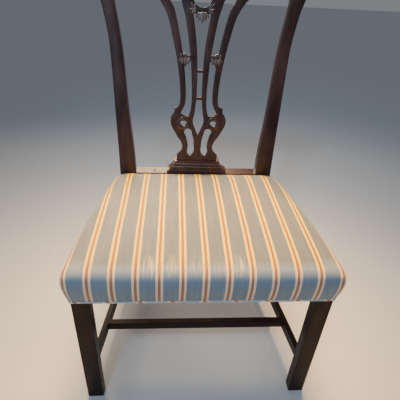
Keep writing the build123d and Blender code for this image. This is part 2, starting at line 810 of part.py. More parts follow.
# Splat: a pierced plank of two pairs of ribs
with BuildPart() as splat:
    with BuildSketch(back_plane.offset(-splat_setback)):
        with BuildLine():
            base_corner = (splat_base, base_up + 0.066 * rib_rise)
            cusp = (splat_cusp, base_up + 0.589 * rib_rise)
            Polyline((0, base_up), (splat_base, base_up), base_corner)
            Spline(
                base_corner,
                (splat_waist, base_up + 0.12 * rib_rise),
                (splat_waist, base_up + 0.184 * rib_rise),
                scroll(0.79, 0.3),
                (splat_lobe, base_up + 0.437 * rib_rise),
                scroll(0.915, 0.537),
                cusp,
            )
            Spline(
                cusp,
                scroll(0.686, 0.657),
                (splat_neck, base_up + 0.745 * rib_rise),
                scroll(0.752, 1.0),
                flare(0.522, 0.378),
                flare(0.678, 0.736),
                (splat_flare, splat_seat),
            )
            Line((splat_flare, splat_seat), (0, splat_seat))
            mirror(about=Plane.YZ)
        make_face()
        with BuildLine():
            Spline(
                scroll(0, 0.291),
                scroll(0.131, 0.383),
                scroll(0.196, 0.447),
                scroll(0.157, 0.531),
                (0.097 * splat_lobe, low_link),
            )
            Line((0.097 * splat_lobe, low_link), (0, low_link))
            mirror(about=Plane.YZ)
        make_face(mode=Mode.SUBTRACT)
        with BuildLine():
            Polyline(
                (0, low_link + link_height),
                (0.089 * splat_lobe, low_link + link_height),
                (0.097 * splat_lobe, flare_up - link_height),
                (0, flare_up - link_height),
            )
            mirror(about=Plane.YZ)
        make_face(mode=Mode.SUBTRACT)
        with BuildLine():
            Line((0, flare_up), flare(0.055, 0))
            Spline(
                flare(0.055, 0),
                flare(0.075, 0.259),
                flare(0.119, 0.5),
                (0.162 * splat_flare, crosspiece[0]),
            )
            Line((0.162 * splat_flare, crosspiece[0]), (0, crosspiece[0]))
            mirror(about=Plane.YZ)
        make_face(mode=Mode.SUBTRACT)
        with Locations((0, crosspiece[1] + oval_height / 2)):
            Ellipse(0.159 * splat_flare, oval_height / 2, mode=Mode.SUBTRACT)
        for hand in (-1, 1):
            with Locations(scroll(hand * 0.539, 0.431)):
                Circle(ring_eye, mode=Mode.SUBTRACT)
            with BuildLine():
                Spline(
                    scroll(hand * 0.288, 0.058),
                    scroll(hand * 0.373, 0.092),
                    scroll(hand * 0.353, 0.168),
                    scroll(hand * 0.434, 0.279),
                    scroll(hand * 0.497, 0.345),
                    scroll(hand * 0.32, 0.369),
                    scroll(hand * 0.195, 0.291),
                    scroll(hand * 0.136, 0.176),
                    scroll(hand * 0.17, 0.078),
                    periodic=True,
                )
            make_face(mode=Mode.SUBTRACT)
            with BuildLine():
                ThreePointArc(
                    scroll(hand * 0.346, 0.511),
                    scroll(hand * 0.51, 0.517),
                    scroll(hand * 0.654, 0.539),
                )
                Spline(
                    scroll(hand * 0.654, 0.539),
                    scroll(hand * 0.503, 0.637),
                    scroll(hand * 0.475, 0.717),
                    scroll(hand * 0.505, 0.9),
                    flare(hand * 0.308, 0.036),
                )
                Line(flare(hand * 0.308, 0.036), flare(hand * 0.175, 0.036))
                Spline(
                    flare(hand * 0.175, 0.036),
                    scroll(hand * 0.284, 0.9),
                    scroll(hand * 0.259, 0.735),
                    scroll(hand * 0.286, 0.581),
                    scroll(hand * 0.346, 0.511),
                )
            make_face(mode=Mode.SUBTRACT)
            with BuildLine():
                Line(flare(hand * 0.199, 0.212), flare(hand * 0.341, 0.212))
                Spline(
                    flare(hand * 0.341, 0.212),
                    flare(hand * 0.417, 0.497),
                    flare(hand * 0.504, 0.736),
                    flare(hand * 0.609, 0.917),
                )
                ThreePointArc(
                    flare(hand * 0.609, 0.917),
                    flare(hand * 0.558, 0.961),
                    flare(hand * 0.482, 0.943),
                )
                Spline(
                    flare(hand * 0.482, 0.943),
                    flare(hand * 0.337, 0.736),
                    flare(hand * 0.261, 0.497),
                    flare(hand * 0.199, 0.212),
                )
            make_face(mode=Mode.SUBTRACT)
    extrude(amount=-splat_thickness)
    panel((-splat_tongue, splat_tongue), (tongue_up, base_up), splat_setback, splat_thickness)
    panel(splat_tenon_across, splat_tenon_up, splat_tenon_front, splat_thickness / 2)
write(splat, "splat")

# Crest rail: a serpentine top between upturned ears
with BuildPart() as crest_rail:
    with BuildSketch(back_plane):
        with BuildLine():
            post_end = post_top_spread / 2
            ear_tip = (post_end + ear_reach / 2, post_length + ear_rise)
            ear_side = (post_end + ear_reach, post_length + ear_rise * 3 / 4)
            ear_corner = (post_end + ear_reach * 0.95, post_length + ear_rise * 0.95)
            Spline(
                (0, crest_top),
                (post_end * 0.3, post_length + 0.94 * crest_rise),
                (post_end * 0.65, post_length + 0.775 * crest_rise),
                (post_end * 0.85, post_length + 0.79 * crest_rise),
                ear_tip,
            )
            ThreePointArc(ear_tip, ear_corner, ear_side)
            Spline(
                ear_side,
                (post_end + ear_reach * 0.5, post_length + ear_rise * 0.36),
                (post_end, post_length),
            )
            inner_end = (post_end - post_top_width, post_length)
            Line((post_end, post_length), inner_end)
            Spline(
                inner_end,
                (inner_end[0] - 0.38 * crest_arch, post_length + crest_arch * 0.25),
                ((inner_end[0] + splat_flare) / 2, post_length + crest_arch * 0.75),
                (splat_flare, splat_seat),
            )
            Line((splat_flare, splat_seat), (0, splat_seat))
            mirror(about=Plane.YZ)
        make_face()
    extrude(amount=-crest_thickness)
    panel(
        splat_tenon_across,
        splat_tenon_up,
        splat_tenon_front,
        splat_thickness / 2,
        grow=fit_gap,
        mode=Mode.SUBTRACT,
    )
    for hand in (-1, 1):
        across = sorted(hand * x for x in crest_tenon_across)
        panel(
            across,
            crest_tenon_up,
            crest_tenon_front,
            tenon_thickness,
            grow=fit_gap,
            mode=Mode.SUBTRACT,
        )
write(crest_rail, "crest_rail")


def strip_outline(ends, crossings, raised_first):
    # The side outline of a strip that passes over and under the strips it crosses
    low = [(ends[0], rail_top)]
    for index, place in enumerate(crossings):
        raised = (index % 2 == 0) == raised_first
        level = rail_top + (webbing_step if raised else 0.0)
        reach = webbing_width / 2 + ramp_margin
        low += [(place - reach, level), (place + reach, level)]
    low.append((ends[1], rail_top))
    return low + [(along, level + webbing_thickness) for along, level in reversed(low)]


# Webbing, interlaced: each strip passes over one neighbour and under the next
for index, place in enumerate(strip_places):
    with BuildPart() as strip:
        with BuildSketch(side_view(place)):
            with BuildLine():
                Polyline(*strip_outline(length_ends, cross_depths, index % 2 == 0), close=True)
            make_face()
        extrude(amount=webbing_width / 2, both=True)
        add(webbing_tacks.part, mode=Mode.SUBTRACT)
    write(strip, f"webbing_length_{index + 1}")

for index, depth in enumerate(cross_depths):
    ends = (-cross_end(depth), cross_end(depth))
    with BuildPart() as strip:
        with BuildSketch(front_view(depth)):
            with BuildLine():
                Polyline(*strip_outline(ends, strip_places, index % 2 == 1), close=True)
            make_face()
        extrude(amount=webbing_width / 2, both=True)
        add(webbing_tacks.part, mode=Mode.SUBTRACT)
    write(strip, f"webbing_cross_{index + 1}")

with BuildPart() as hessian:
    with BuildSketch(plan(hessian_base)):
        with BuildLine():
            near, far = hessian_inset, seat_depth - hessian_inset
            Polyline(
                (-side_x(near, hessian_inset), near),
                (side_x(near, hessian_inset), near),
                (side_x(far, hessian_inset), far),
                (-side_x(far, hessian_inset), far),
                close=True,
            )
        make_face()
    extrude(amount=hessian_thickness)
write(hessian, "hessian")

# Levels of the seat's form, each a rounded outline: heights above the rails at the front and the
# rear, growth past the rails at the front and at the sides' rear ends, distance of the rear edge
# from the posts, then the corner radii, the bow and the spread of the sides as shares of the largest
hem_drop = hem_height - rail_top
skirt = rail_middle - rail_top
side_levels = [
    (
        hem_drop, hem_drop, hem_growth, hem_growth,
        rear_clearance, 0.11, 0.07, 0.04, 0.0,
    ),
    (
        skirt, skirt, 0.67 * seat_bulge, 0.75 * side_bulge,
        rear_clearance, 0.22, 0.1, 0.32, 0.2,
    ),
    (
        -0.01 * crown_rise, -0.07 * crown_rise, seat_bulge, 0.75 * side_bulge,
        rear_clearance, 0.4, 0.17, 0.72, 0.7,
    ),
    (
        0.49 * crown_rise, 0.27 * crown_rise, 0.67 * seat_bulge, -0.02 * dome_front,
        0.017 * dome_rear, 0.47, 0.33, 1.0, 1.0,
    ),
    (
        0.755 * crown_rise, 0.435 * crown_rise, -0.03 * dome_front, -0.1 * dome_front,
        0.078 * dome_rear, 0.6, 0.6, 1.0, 1.0,
    ),
    (
        0.815 * crown_rise, 0.545 * crown_rise, -0.105 * dome_front, -0.17 * dome_front,
        0.16 * dome_rear, 0.8, 0.7, 0.88, 0.8,
    ),
    (
        0.86 * crown_rise, 0.635 * crown_rise, -0.185 * dome_front, -0.245 * dome_front,
        0.25 * dome_rear, 1.0, 0.8, 0.7, 0.6,
    ),
]
top_levels = [
    side_levels[-1],
    (
        0.95 * crown_rise, 0.815 * crown_rise, -0.593 * dome_front, -0.535 * dome_front,
        0.622 * dome_rear, 1.0, 1.0, 0.35, 0.0,
    ),
    (
        crown_rise, crown_rise - crown_fall, -dome_front, -0.82 * dome_front,
        dome_rear, 1.0, 1.0, 0.15, 0.0,
    ),
]


def seat_form(levels):
    # A stuffed form through its levels
    with BuildPart() as form:
        for level in levels:
            front_rise, rear_rise, growth, rear_growth = level[:4]
            rear_edge, front_share, rear_share, bow, spread = level[4:]
            near = -growth
            far = seat_depth - rear_edge
            tilt = math.atan2(rear_rise - front_rise, far - near)
            half = (far - near) / 2 / math.cos(tilt)
            section = Plane(
                origin=(0, front_y + (near + far) / 2, rail_top + (front_rise + rear_rise) / 2),
                x_dir=(1, 0, 0),
                z_dir=(0, -math.sin(tilt), math.cos(tilt)),
            )
            near_x = side_x(near, -growth) + spread * side_spread
            far_x = post_outer + splay * (seat_depth - far) + rear_growth
            middle_x = (near_x + far_x) / 2 + bow * side_bow
            with BuildSketch(section) as outline:
                with BuildLine():
                    Line((-near_x, -half), (near_x, -half))
                    ThreePointArc((near_x, -half), (middle_x, 0), (far_x, half))
                    Line((far_x, half), (-far_x, half))
                    ThreePointArc((-far_x, half), (-middle_x, 0), (-near_x, -half))
                make_face()
                fillet(outline.vertices().group_by(Axis.Y)[0], front_share * seat_round)
                fillet(outline.vertices().group_by(Axis.Y)[-1], rear_share * rear_round)
        loft()
    return form.part


def hair_pad(grow):
    # The pad of hair, thinner towards the rear, with sloping sides
    with BuildPart() as pad:
        with BuildSketch(side_view(0)):
            with BuildLine():
                near = hair_inset - grow
                far = seat_depth - hair_rear_inset + grow
                Polyline(
                    (near, stuffing_base),
                    (near, stuffing_base + hair_front_height + grow),
                    (near + hair_slope, stuffing_base + hair_height + grow),
                    (far - hair_rear_slope, stuffing_base + hair_height + grow),
                    (far, stuffing_base + hair_rear_height + grow),
                    (far, stuffing_base),
                    close=True,
                )
            make_face()
        extrude(amount=leg_spread, both=True)
        with BuildSketch(plan(0)):
            with BuildLine():
                Polyline(
                    (side_x(0, hair_inset - grow), 0),
                    (side_x(seat_depth, hair_inset - grow), seat_depth),
                    (-side_x(seat_depth, hair_inset - grow), seat_depth),
                    (-side_x(0, hair_inset - grow), 0),
                    close=True,
                )
            make_face()
        extrude(amount=rail_top + crown_rise, mode=Mode.INTERSECT)
    return pad.part


# Curled hair on the hessian
with BuildPart() as hair_stuffing:
    add(hair_pad(0))
write(hair_stuffing, "hair_stuffing")

# The cover with its wadding, over the hair and down the outer faces of the rails
with BuildPart() as seat_cover:
    add(seat_form(side_levels))
    add(seat_form(top_levels))
    with BuildSketch(plan(0)):
        with BuildLine():
            near, far = -layer_gap, seat_depth + rear_rail_depth
            Polyline(
                (-side_x(near, -layer_gap), near),
                (side_x(near, -layer_gap), near),
                (side_x(far, -layer_gap), far),
                (-side_x(far, -layer_gap), far),
                close=True,
            )
        make_face()
    extrude(amount=stuffing_base, mode=Mode.SUBTRACT)
    add(hair_pad(layer_gap), mode=Mode.SUBTRACT)
write(seat_cover, "seat_cover")

# Piping round the front and sides, under the cover's edge
with BuildPart() as piping:
    reach = piping_diameter / 2 + layer_gap
    near, far = -reach, seat_depth - layer_gap
    with BuildLine(plan(piping_bottom + piping_diameter / 2)) as piping_path:
        FilletPolyline(
            (side_x(far, -reach), far),
            (side_x(near, -reach), near),
            (-side_x(near, -reach), near),
            (-side_x(far, -reach), far),
            radius=piping_corner,
        )
    with BuildSketch(Plane(origin=piping_path.wire() @ 0, z_dir=piping_path.wire() % 0)):
        Circle(piping_diameter / 2)
    sweep()
write(piping, "piping")

# Dust cover under the rails, notched round the legs and posts
with BuildPart() as dust_cover:
    with BuildSketch(plan(rail_bottom)):
        with BuildLine():
            near, far = dust_cover_inset, seat_depth + rear_rail_depth - dust_cover_inset
            leg_in = leg_inner - dust_cover_notch
            leg_back = leg_width + dust_cover_notch
            post_in = post_inner - dust_cover_notch
            post_front = seat_depth - dust_cover_notch
            Polyline(
                (0, near),
                (leg_in, near),
                (leg_in, leg_back),
                (side_x(leg_back, dust_cover_inset), leg_back),
                (side_x(post_front, dust_cover_inset), post_front),
                (post_in, post_front),
                (post_in, far),
                (0, far),
            )
            mirror(about=Plane.YZ)
        make_face()
    extrude(amount=-dust_cover_thickness)
    add(dust_cover_tacks.part, mode=Mode.SUBTRACT)
write(dust_cover, "dust_cover")
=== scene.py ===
import math

import bmesh
import bpy
import numpy as np
from mathutils import Matrix, Vector


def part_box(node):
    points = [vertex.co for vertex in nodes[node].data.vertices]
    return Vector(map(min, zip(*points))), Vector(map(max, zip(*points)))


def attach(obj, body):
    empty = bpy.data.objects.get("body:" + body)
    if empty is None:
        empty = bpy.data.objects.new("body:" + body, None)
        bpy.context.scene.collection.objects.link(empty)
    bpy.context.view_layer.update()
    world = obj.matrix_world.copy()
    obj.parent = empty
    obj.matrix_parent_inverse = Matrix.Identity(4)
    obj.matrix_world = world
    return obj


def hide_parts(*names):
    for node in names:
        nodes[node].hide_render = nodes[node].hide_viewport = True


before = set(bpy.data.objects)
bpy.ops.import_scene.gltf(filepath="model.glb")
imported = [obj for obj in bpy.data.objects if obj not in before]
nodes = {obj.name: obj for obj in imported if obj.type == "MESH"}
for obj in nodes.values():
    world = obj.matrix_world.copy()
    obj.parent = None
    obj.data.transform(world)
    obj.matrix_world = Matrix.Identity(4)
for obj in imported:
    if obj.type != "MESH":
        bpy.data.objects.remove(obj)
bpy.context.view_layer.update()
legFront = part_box("front_leg_left")[0].y  # the front faces of the front legs
weldGap = 0.00002  # points nearer than this are one
tiny = 1e-6
print("frame loaded:", len(nodes), "nodes")


# working helpers
def setMode(mode):
    bpy.ops.object.mode_set(mode=mode)


def deselect():
    if bpy.context.mode != "OBJECT":
        setMode("OBJECT")
    bpy.ops.object.select_all(action="DESELECT")


def makeActive(piece):
    deselect()
    piece.select_set(True)
    bpy.context.view_layer.objects.active = piece


def editWhole(piece):
    makeActive(piece)
    setMode("EDIT")
    bpy.ops.mesh.select_all(action="SELECT")


def turnOutward(piece):
    editWhole(piece)
    bpy.ops.mesh.normals_make_consistent(inside=False)
    setMode("OBJECT")


def applyModifiers(piece):
    makeActive(piece)
    for modifier in list(piece.modifiers):
        bpy.ops.object.modifier_apply(modifier=modifier.name)


def smoothAll(piece):
    makeActive(piece)
    bpy.ops.object.shade_smooth()


def smoothByAngle(piece, degrees=40):
    makeActive(piece)
    bpy.ops.object.shade_smooth_by_angle(angle=math.radians(degrees))


def softenEdges(piece, width, degrees, segments=3):
    bevel = piece.modifiers.new("edges", "BEVEL")
    bevel.width = width
    bevel.segments = segments
    bevel.limit_method = "ANGLE"
    bevel.angle_limit = math.radians(degrees)
    applyModifiers(piece)
    smoothByAngle(piece)


def settle(piece, material, slotName, *stoodFor):
    piece.data.materials.clear()
    piece.data.materials.append(material)
    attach(piece, "root")
    if stoodFor:
        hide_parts(*stoodFor)


def toPart(spot):
    # from millimetres behind the front legs' faces to the shared frame
    return Vector((spot.x / 1000, legFront + spot.y / 1000, spot.z / 1000))


def easeThrough(keys, values, spots):
    # a smooth line through the values that never overshoots them
    keys, values, spots = (np.asarray(x, float) for x in (keys, values, spots))
    gap = np.diff(keys)
    rise = np.diff(values) / gap
    slope = np.zeros(len(keys))
    slope[-1] = rise[-1]
    both = rise[:-1] * rise[1:]
    slope[1:-1] = np.where(both > 0, 2 * both / np.where(both > 0, rise[:-1] + rise[1:], 1), 0)
    at = np.clip(np.searchsorted(keys, spots, side="right") - 1, 0, len(gap) - 1)
    t = (spots - keys[at]) / gap[at]
    return (
        values[at] * (1 + 2 * t) * (1 - t) ** 2
        + slope[at] * gap[at] * t * (1 - t) ** 2
        + values[at + 1] * t * t * (3 - 2 * t)
        + slope[at + 1] * gap[at] * t * t * (t - 1)
    )


# camera at the photo's place, measured from the middle of the front legs
view = {
    "place": (-0.0751, -0.5564, 0.9805), "yaw": 5.24, "pitch": 33.95, "roll": -3.49,
    "lens": 35.145, "sensor": 36,
}


def addCamera():
    yaw, pitch, roll = (math.radians(view[key]) for key in ("yaw", "pitch", "roll"))
    ahead = Vector((math.sin(yaw) * math.cos(pitch), math.cos(yaw) * math.cos(pitch), -math.sin(pitch)))
    level = Vector((math.cos(yaw), -math.sin(yaw), 0))
    drop = ahead.cross(level)
    right = level * math.cos(roll) + drop * math.sin(roll)
    down = drop * math.cos(roll) - level * math.sin(roll)
    deselect()
    bpy.ops.object.camera_add()
    eye = bpy.context.object
    turn = Matrix((right, -down, -ahead)).transposed().to_4x4()
    eye.matrix_world = Matrix.Translation(Vector(view["place"]) + Vector((0, legFront, 0))) @ turn
    eye.data.lens = view["lens"]
    eye.data.sensor_width = view["sensor"]
    bpy.context.scene.camera = eye


# studio: warm soft light from above and behind, cool light from the front, a pale floor
studio = {
    "lamps": {
        "overhead": {
            "place": (0.05, 0.6, 2.3), "aim": (0, 0.0, 0.42), "size": (0.9, 0.6), "power": 12.0, "spread": 42,
            "tint": (1.0, 0.53, 0.17), "glints": False,
        },
        "rear": {
            "place": (-0.55, 2.4, 1.8), "aim": (0, 0.0, 0.42), "size": (2.0, 0.8), "power": 13, "spread": 60,
            "tint": (1.0, 0.74, 0.46), "glints": True,
        },
        "window": {
            "place": (-0.5, -1.3, 2.3), "aim": (0, 0.15, 0.6), "size": (0.3, 0.25), "power": 2.0,
            "spread": 46, "tint": (0.66, 0.82, 1.0), "glints": True,
        },
        "ceiling": {
            "place": (0.1, -0.15, 2.5), "aim": (0, 0.1, 0.5), "size": (1.4, 0.35), "power": 1.6, "spread": 60,
            "tint": (0.92, 0.96, 1.0), "glints": True,
        },
        "fill": {
            "place": (-0.9, -2.4, 1.2), "aim": (0, 0, 0.5), "size": (1.7, 1.3), "power": 4.0, "spread": 120,
            "tint": (0.50, 0.74, 1.0), "glints": True,
        },
    },
    "floor": (0.60, 0.635, 0.68), "floorSize": 14, "floorRoughness": 0.85,
    "air": (0.88, 0.93, 1.0), "airStrength": 0.235,
}


def addStudio():
    for name, spec in studio["lamps"].items():
        deselect()
        bpy.ops.object.light_add(type="AREA", location=spec["place"])
        lamp = bpy.context.object
        lamp.name = name
        lamp.data.shape = "RECTANGLE"
        lamp.data.size, lamp.data.size_y = spec["size"]
        lamp.data.energy = spec["power"]
        lamp.data.color = spec["tint"]
        lamp.data.spread = math.radians(spec["spread"])
        lamp.visible_glossy = spec["glints"]
        away = Vector(spec["aim"]) - Vector(spec["place"])
        lamp.rotation_euler = away.to_track_quat("-Z", "Y").to_euler()
    world = bpy.context.scene.world or bpy.data.worlds.new("air")
    bpy.context.scene.world = world
    world.use_nodes = True
    sky = world.node_tree.nodes.get("Background") or world.node_tree.nodes.new("ShaderNodeBackground")
    sky.inputs["Color"].default_value = (*studio["air"], 1)
    sky.inputs["Strength"].default_value = studio["airStrength"]
    deselect()
    bpy.ops.mesh.primitive_plane_add(size=studio["floorSize"])
    floor = bpy.context.object
    floor.name = "floor"
    material, tree, shader = blankMaterial("paleFloor")
    feed(tree, shader, {"Base Color": (*studio["floor"], 1), "Roughness": studio["floorRoughness"]})
    floor.data.materials.append(material)


# material helpers
def blankMaterial(name):
    material = bpy.data.materials.new(name)
    material.use_nodes = True
    return material, material.node_tree, material.node_tree.nodes["Principled BSDF"]


def feed(tree, node, sockets):
    # links or sets a node's inputs
    for key, value in sockets.items():
        if isinstance(value, bpy.types.NodeSocket):
            tree.links.new(value, node.inputs[key])
        else:
            node.inputs[key].default_value = value


def addNode(tree, kind, sockets=None, **settings):
    node = tree.nodes.new(kind)
    for key, value in settings.items():
        setattr(node, key, value)
    feed(tree, node, sockets or {})
    return node


def objectPlace(tree):
    return addNode(tree, "ShaderNodeTexCoord").outputs["Object"]


def axesOf(tree, vector):
    return addNode(tree, "ShaderNodeSeparateXYZ", {0: vector}).outputs


def sums(tree, operation, first, second=0.0, third=0.0):
    node = addNode(tree, "ShaderNodeMath", {0: first, 1: second, 2: third}, operation=operation)
    return node.outputs[0]


def mapped(tree, value, fromMin, fromMax, toMin=0.0, toMax=1.0):
    sockets = {"Value": value, "From Min": fromMin, "From Max": fromMax, "To Min": toMin, "To Max": toMax}
    return addNode(tree, "ShaderNodeMapRange", sockets).outputs[0]


def stretched(tree, place, scale):
    return addNode(tree, "ShaderNodeMapping", {"Vector": place, "Scale": scale}).outputs[0]


def noise(tree, place, scale, detail, rough=0.5, twist=0.0):
    sockets = {"Vector": place, "Scale": scale, "Detail": detail, "Roughness": rough, "Distortion": twist}
    return addNode(tree, "ShaderNodeTexNoise", sockets).outputs["Fac"]


def blended(tree, share, first, second):
    return addNode(tree, "ShaderNodeMix", {"Factor": share, 6: first, 7: second}, data_type="RGBA").outputs[2]


def bumped(tree, height, strength, distance):
    sockets = {"Height": height, "Strength": strength, "Distance": distance}
    return addNode(tree, "ShaderNodeBump", sockets).outputs[0]


def ramp(tree, factor, stops):
    node = addNode(tree, "ShaderNodeValToRGB", {"Fac": factor})
    points = node.color_ramp.elements
    while len(points) < len(stops):
        points.new(0.5)
    for point, (place, colour) in zip(points, stops):
        point.position = place
        point.color = (*colour, 1)
    return node.outputs["Color"]


addCamera()
addStudio()
print("camera and studio set")

# show wood, darker low down as painted shade; the leaves are paler as a painted highlight and waxed bright,
# the beads are evenly paler as a painted highlight
mahogany = {
    "tones": {
        "plain": ((0.0105, 0.0048, 0.0044), (0.0340, 0.0142, 0.0132), (0.0610, 0.0280, 0.0240)),
        # painted highlight: the leaves' tones are paler than the plain wood's
        "leaf": ((0.024, 0.0110, 0.0100), (0.062, 0.031, 0.028), (0.115, 0.070, 0.062)),
        # painted highlight: the beads' tones are paler than the plain wood's
        "bead": ((0.048, 0.029, 0.026), (0.062, 0.038, 0.034), (0.080, 0.051, 0.046)),
    },
    "stops": (0.36, 0.52, 0.70),
    # painted shade: from 0.44 m down to 0.33 m and below, the wood is darkened towards the floor
    "paintedShadeBelow": (0.33, 0.44, 0.20),  # from this height, to this height, by this much
    "polish": (0.26, 0.40), "carvedPolish": (0.20, 0.32), "dullPolish": (0.32, 0.46),
    "grain": {"x": (5, 75, 75), "y": (75, 5, 75), "z": (75, 75, 5)},
    "figure": (1.0, 7.0, 0.62, 0.5), "figureShare": 0.62,
    "cloud": (9.0, 3.0), "cloudShare": 0.45,
    "wear": (26.0, 4.0), "wearRange": (0.3, 0.7),
    "poreScale": 4.5, "pores": (1.0, 2.0), "poreBump": (0.10, 0.0006),
    "coatRoughness": 0.16, "leafWax": 1.85,
}


def polishedWood(name, along, polish="polish", coat=0.16, gloss=0.30, tones="plain"):
    material, tree, shader = blankMaterial(name)
    place = objectPlace(tree)
    figure = noise(tree, stretched(tree, place, mahogany["grain"][along]), *mahogany["figure"])
    cloud = noise(tree, place, *mahogany["cloud"])
    mixed = sums(tree, "MULTIPLY", figure, mahogany["figureShare"])
    mixed = sums(tree, "MULTIPLY_ADD", cloud, mahogany["cloudShare"], mixed)
    # painted shade: the tone is pulled darker below the seat
    low, high, drop = mahogany["paintedShadeBelow"]
    mixed = sums(tree, "SUBTRACT", mixed, mapped(tree, axesOf(tree, place)[2], high, low, 0.0, drop))
    wear = noise(tree, place, *mahogany["wear"])
    poreScale = tuple(mahogany["poreScale"] * x for x in mahogany["grain"][along])
    pits = noise(tree, stretched(tree, place, poreScale), *mahogany["pores"])
    feed(tree, shader, {
        "Base Color": ramp(tree, mixed, list(zip(mahogany["stops"], mahogany["tones"][tones]))),
        "Roughness": mapped(tree, wear, *mahogany["wearRange"], *mahogany[polish]),
        "Normal": bumped(tree, pits, *mahogany["poreBump"]),
        "Specular IOR Level": gloss, "Coat Weight": coat, "Coat Roughness": mahogany["coatRoughness"],
    })
    return material


satin = {
    "pitch": 0.0469, "centre": -0.0016, "lean": 0.0063, "rustHalf": 0.0028, "creamHalf": 0.0076,
    "cordCentre": -0.0056, "wholeTurns": 64, "lineBlur": 0.02, "edgeBlur": 0.010,
    "waver": (14.0, 1.0), "waverBy": 0.0016, "streaks": (620, 9, 1), "yarn": (1.0, 2.0),
    # sun-faded gold on the top, also warmed as painted warm light and sheen; pale and bluish over the roll as
    # a painted sheen highlight; duller and cooler down the drop as painted cool shade; palest on the cord
    "top": {
        "rust": (0.42, 0.185, 0.002), "cream": (1.0, 0.71, 0.08),
        "ground": (0.180, 0.208, 0.215), "streak": (0.26, 0.28, 0.26),
    },
    "roll": {
        "rust": (0.40, 0.185, 0.060), "cream": (0.95, 0.70, 0.30),
        "ground": (0.275, 0.345, 0.390), "streak": (0.36, 0.43, 0.46),
    },
    "drop": {
        "rust": (0.37, 0.180, 0.105), "cream": (0.86, 0.66, 0.51),
        "ground": (0.180, 0.255, 0.330), "streak": (0.25, 0.33, 0.40),
    },
    "cord": {
        "rust": (0.50, 0.200, 0.130), "cream": (0.90, 0.70, 0.58),
        "ground": (0.420, 0.500, 0.580), "streak": (0.56, 0.63, 0.70),
    },
    "groundStops": (0.30, 0.52, 0.78), "groundDeep": 0.90,
    "fades": {"roll": (0.02, 0.20), "drop": (0.20, 0.37)},  # shares of the way from the start to the hem
    # pale worn threads behind the front edge, partly a painted sheen on the satin's ribs, at these places,
    # with their widths and strengths
    "wornSheenTone": (0.98, 0.86, 0.44), "wornSheenMost": 0.9, "wornSheenFrom": (-0.012, 0.004), "wornSheenTo": (0.048, 0.012),
    "wornSheenSpots": [
        (-0.112, 0.026, 1.3), (-0.074, 0.022, 0.9), (-0.022, 0.024, 0.5), (0.026, 0.02, 0.4),
        (0.067, 0.022, 1.1),
    ],
    "hairs": (520, 16, 1), "threads": (1.0, 1.0), "frayedSheen": (0.50, 0.64),
    "ribs": 0.0011, "ribShare": 0.35, "yarnShare": 1.4, "bump": (0.30, 0.0004),
    "yarnRange": (0.3, 0.75), "roughness": (0.50, 0.34), "gloss": 0.24,
    "sheen": 0.30, "sheenRoughness": 0.35, "sheenTint": (1.0, 0.75, 0.40, 1),
}


def bandColours(tree, part, yarn, tones):
    # rust between two cream lines on a streaky ground
    rust, cream = satin["rustHalf"] / satin["pitch"], satin["creamHalf"] / satin["pitch"]
    deepGround = tuple(satin["groundDeep"] * c for c in tones["ground"])
    ground = ramp(tree, yarn, list(zip(satin["groundStops"], (deepGround, tones["ground"], tones["streak"]))))
    bands = ramp(tree, sums(tree, "MULTIPLY", part, 2.0), [
        (0.0, tones["rust"]),
        (2 * rust - satin["lineBlur"], tones["rust"]),
        (2 * rust + satin["lineBlur"], tones["cream"]),
        (2 * cream, tones["cream"]),
    ])
    edge = mapped(tree, part, cream - satin["edgeBlur"], cream + satin["edgeBlur"])
    return blended(tree, edge, bands, ground)


# where the pale worn threads, partly a painted sheen, lie
def wornSheenShare(tree, cloth, across, along):
    near, deep = mapped(tree, along, *satin["wornSheenFrom"]), mapped(tree, along, *satin["wornSheenTo"])
    spread = 0.0
    for middle, width, strength in satin["wornSheenSpots"]:
        off = sums(tree, "ABSOLUTE", sums(tree, "SUBTRACT", across, middle))
        spread = sums(tree, "ADD", mapped(tree, off, width, 0.0, 0.0, strength), spread)
    threads = noise(tree, stretched(tree, cloth, satin["hairs"]), *satin["threads"])
    frayedSheen = mapped(tree, threads, *satin["frayedSheen"])
    band = sums(tree, "MULTIPLY", near, deep)
    amount = sums(tree, "MULTIPLY", band, sums(tree, "MULTIPLY", frayedSheen, spread))
    return sums(tree, "MINIMUM", amount, satin["wornSheenMost"])


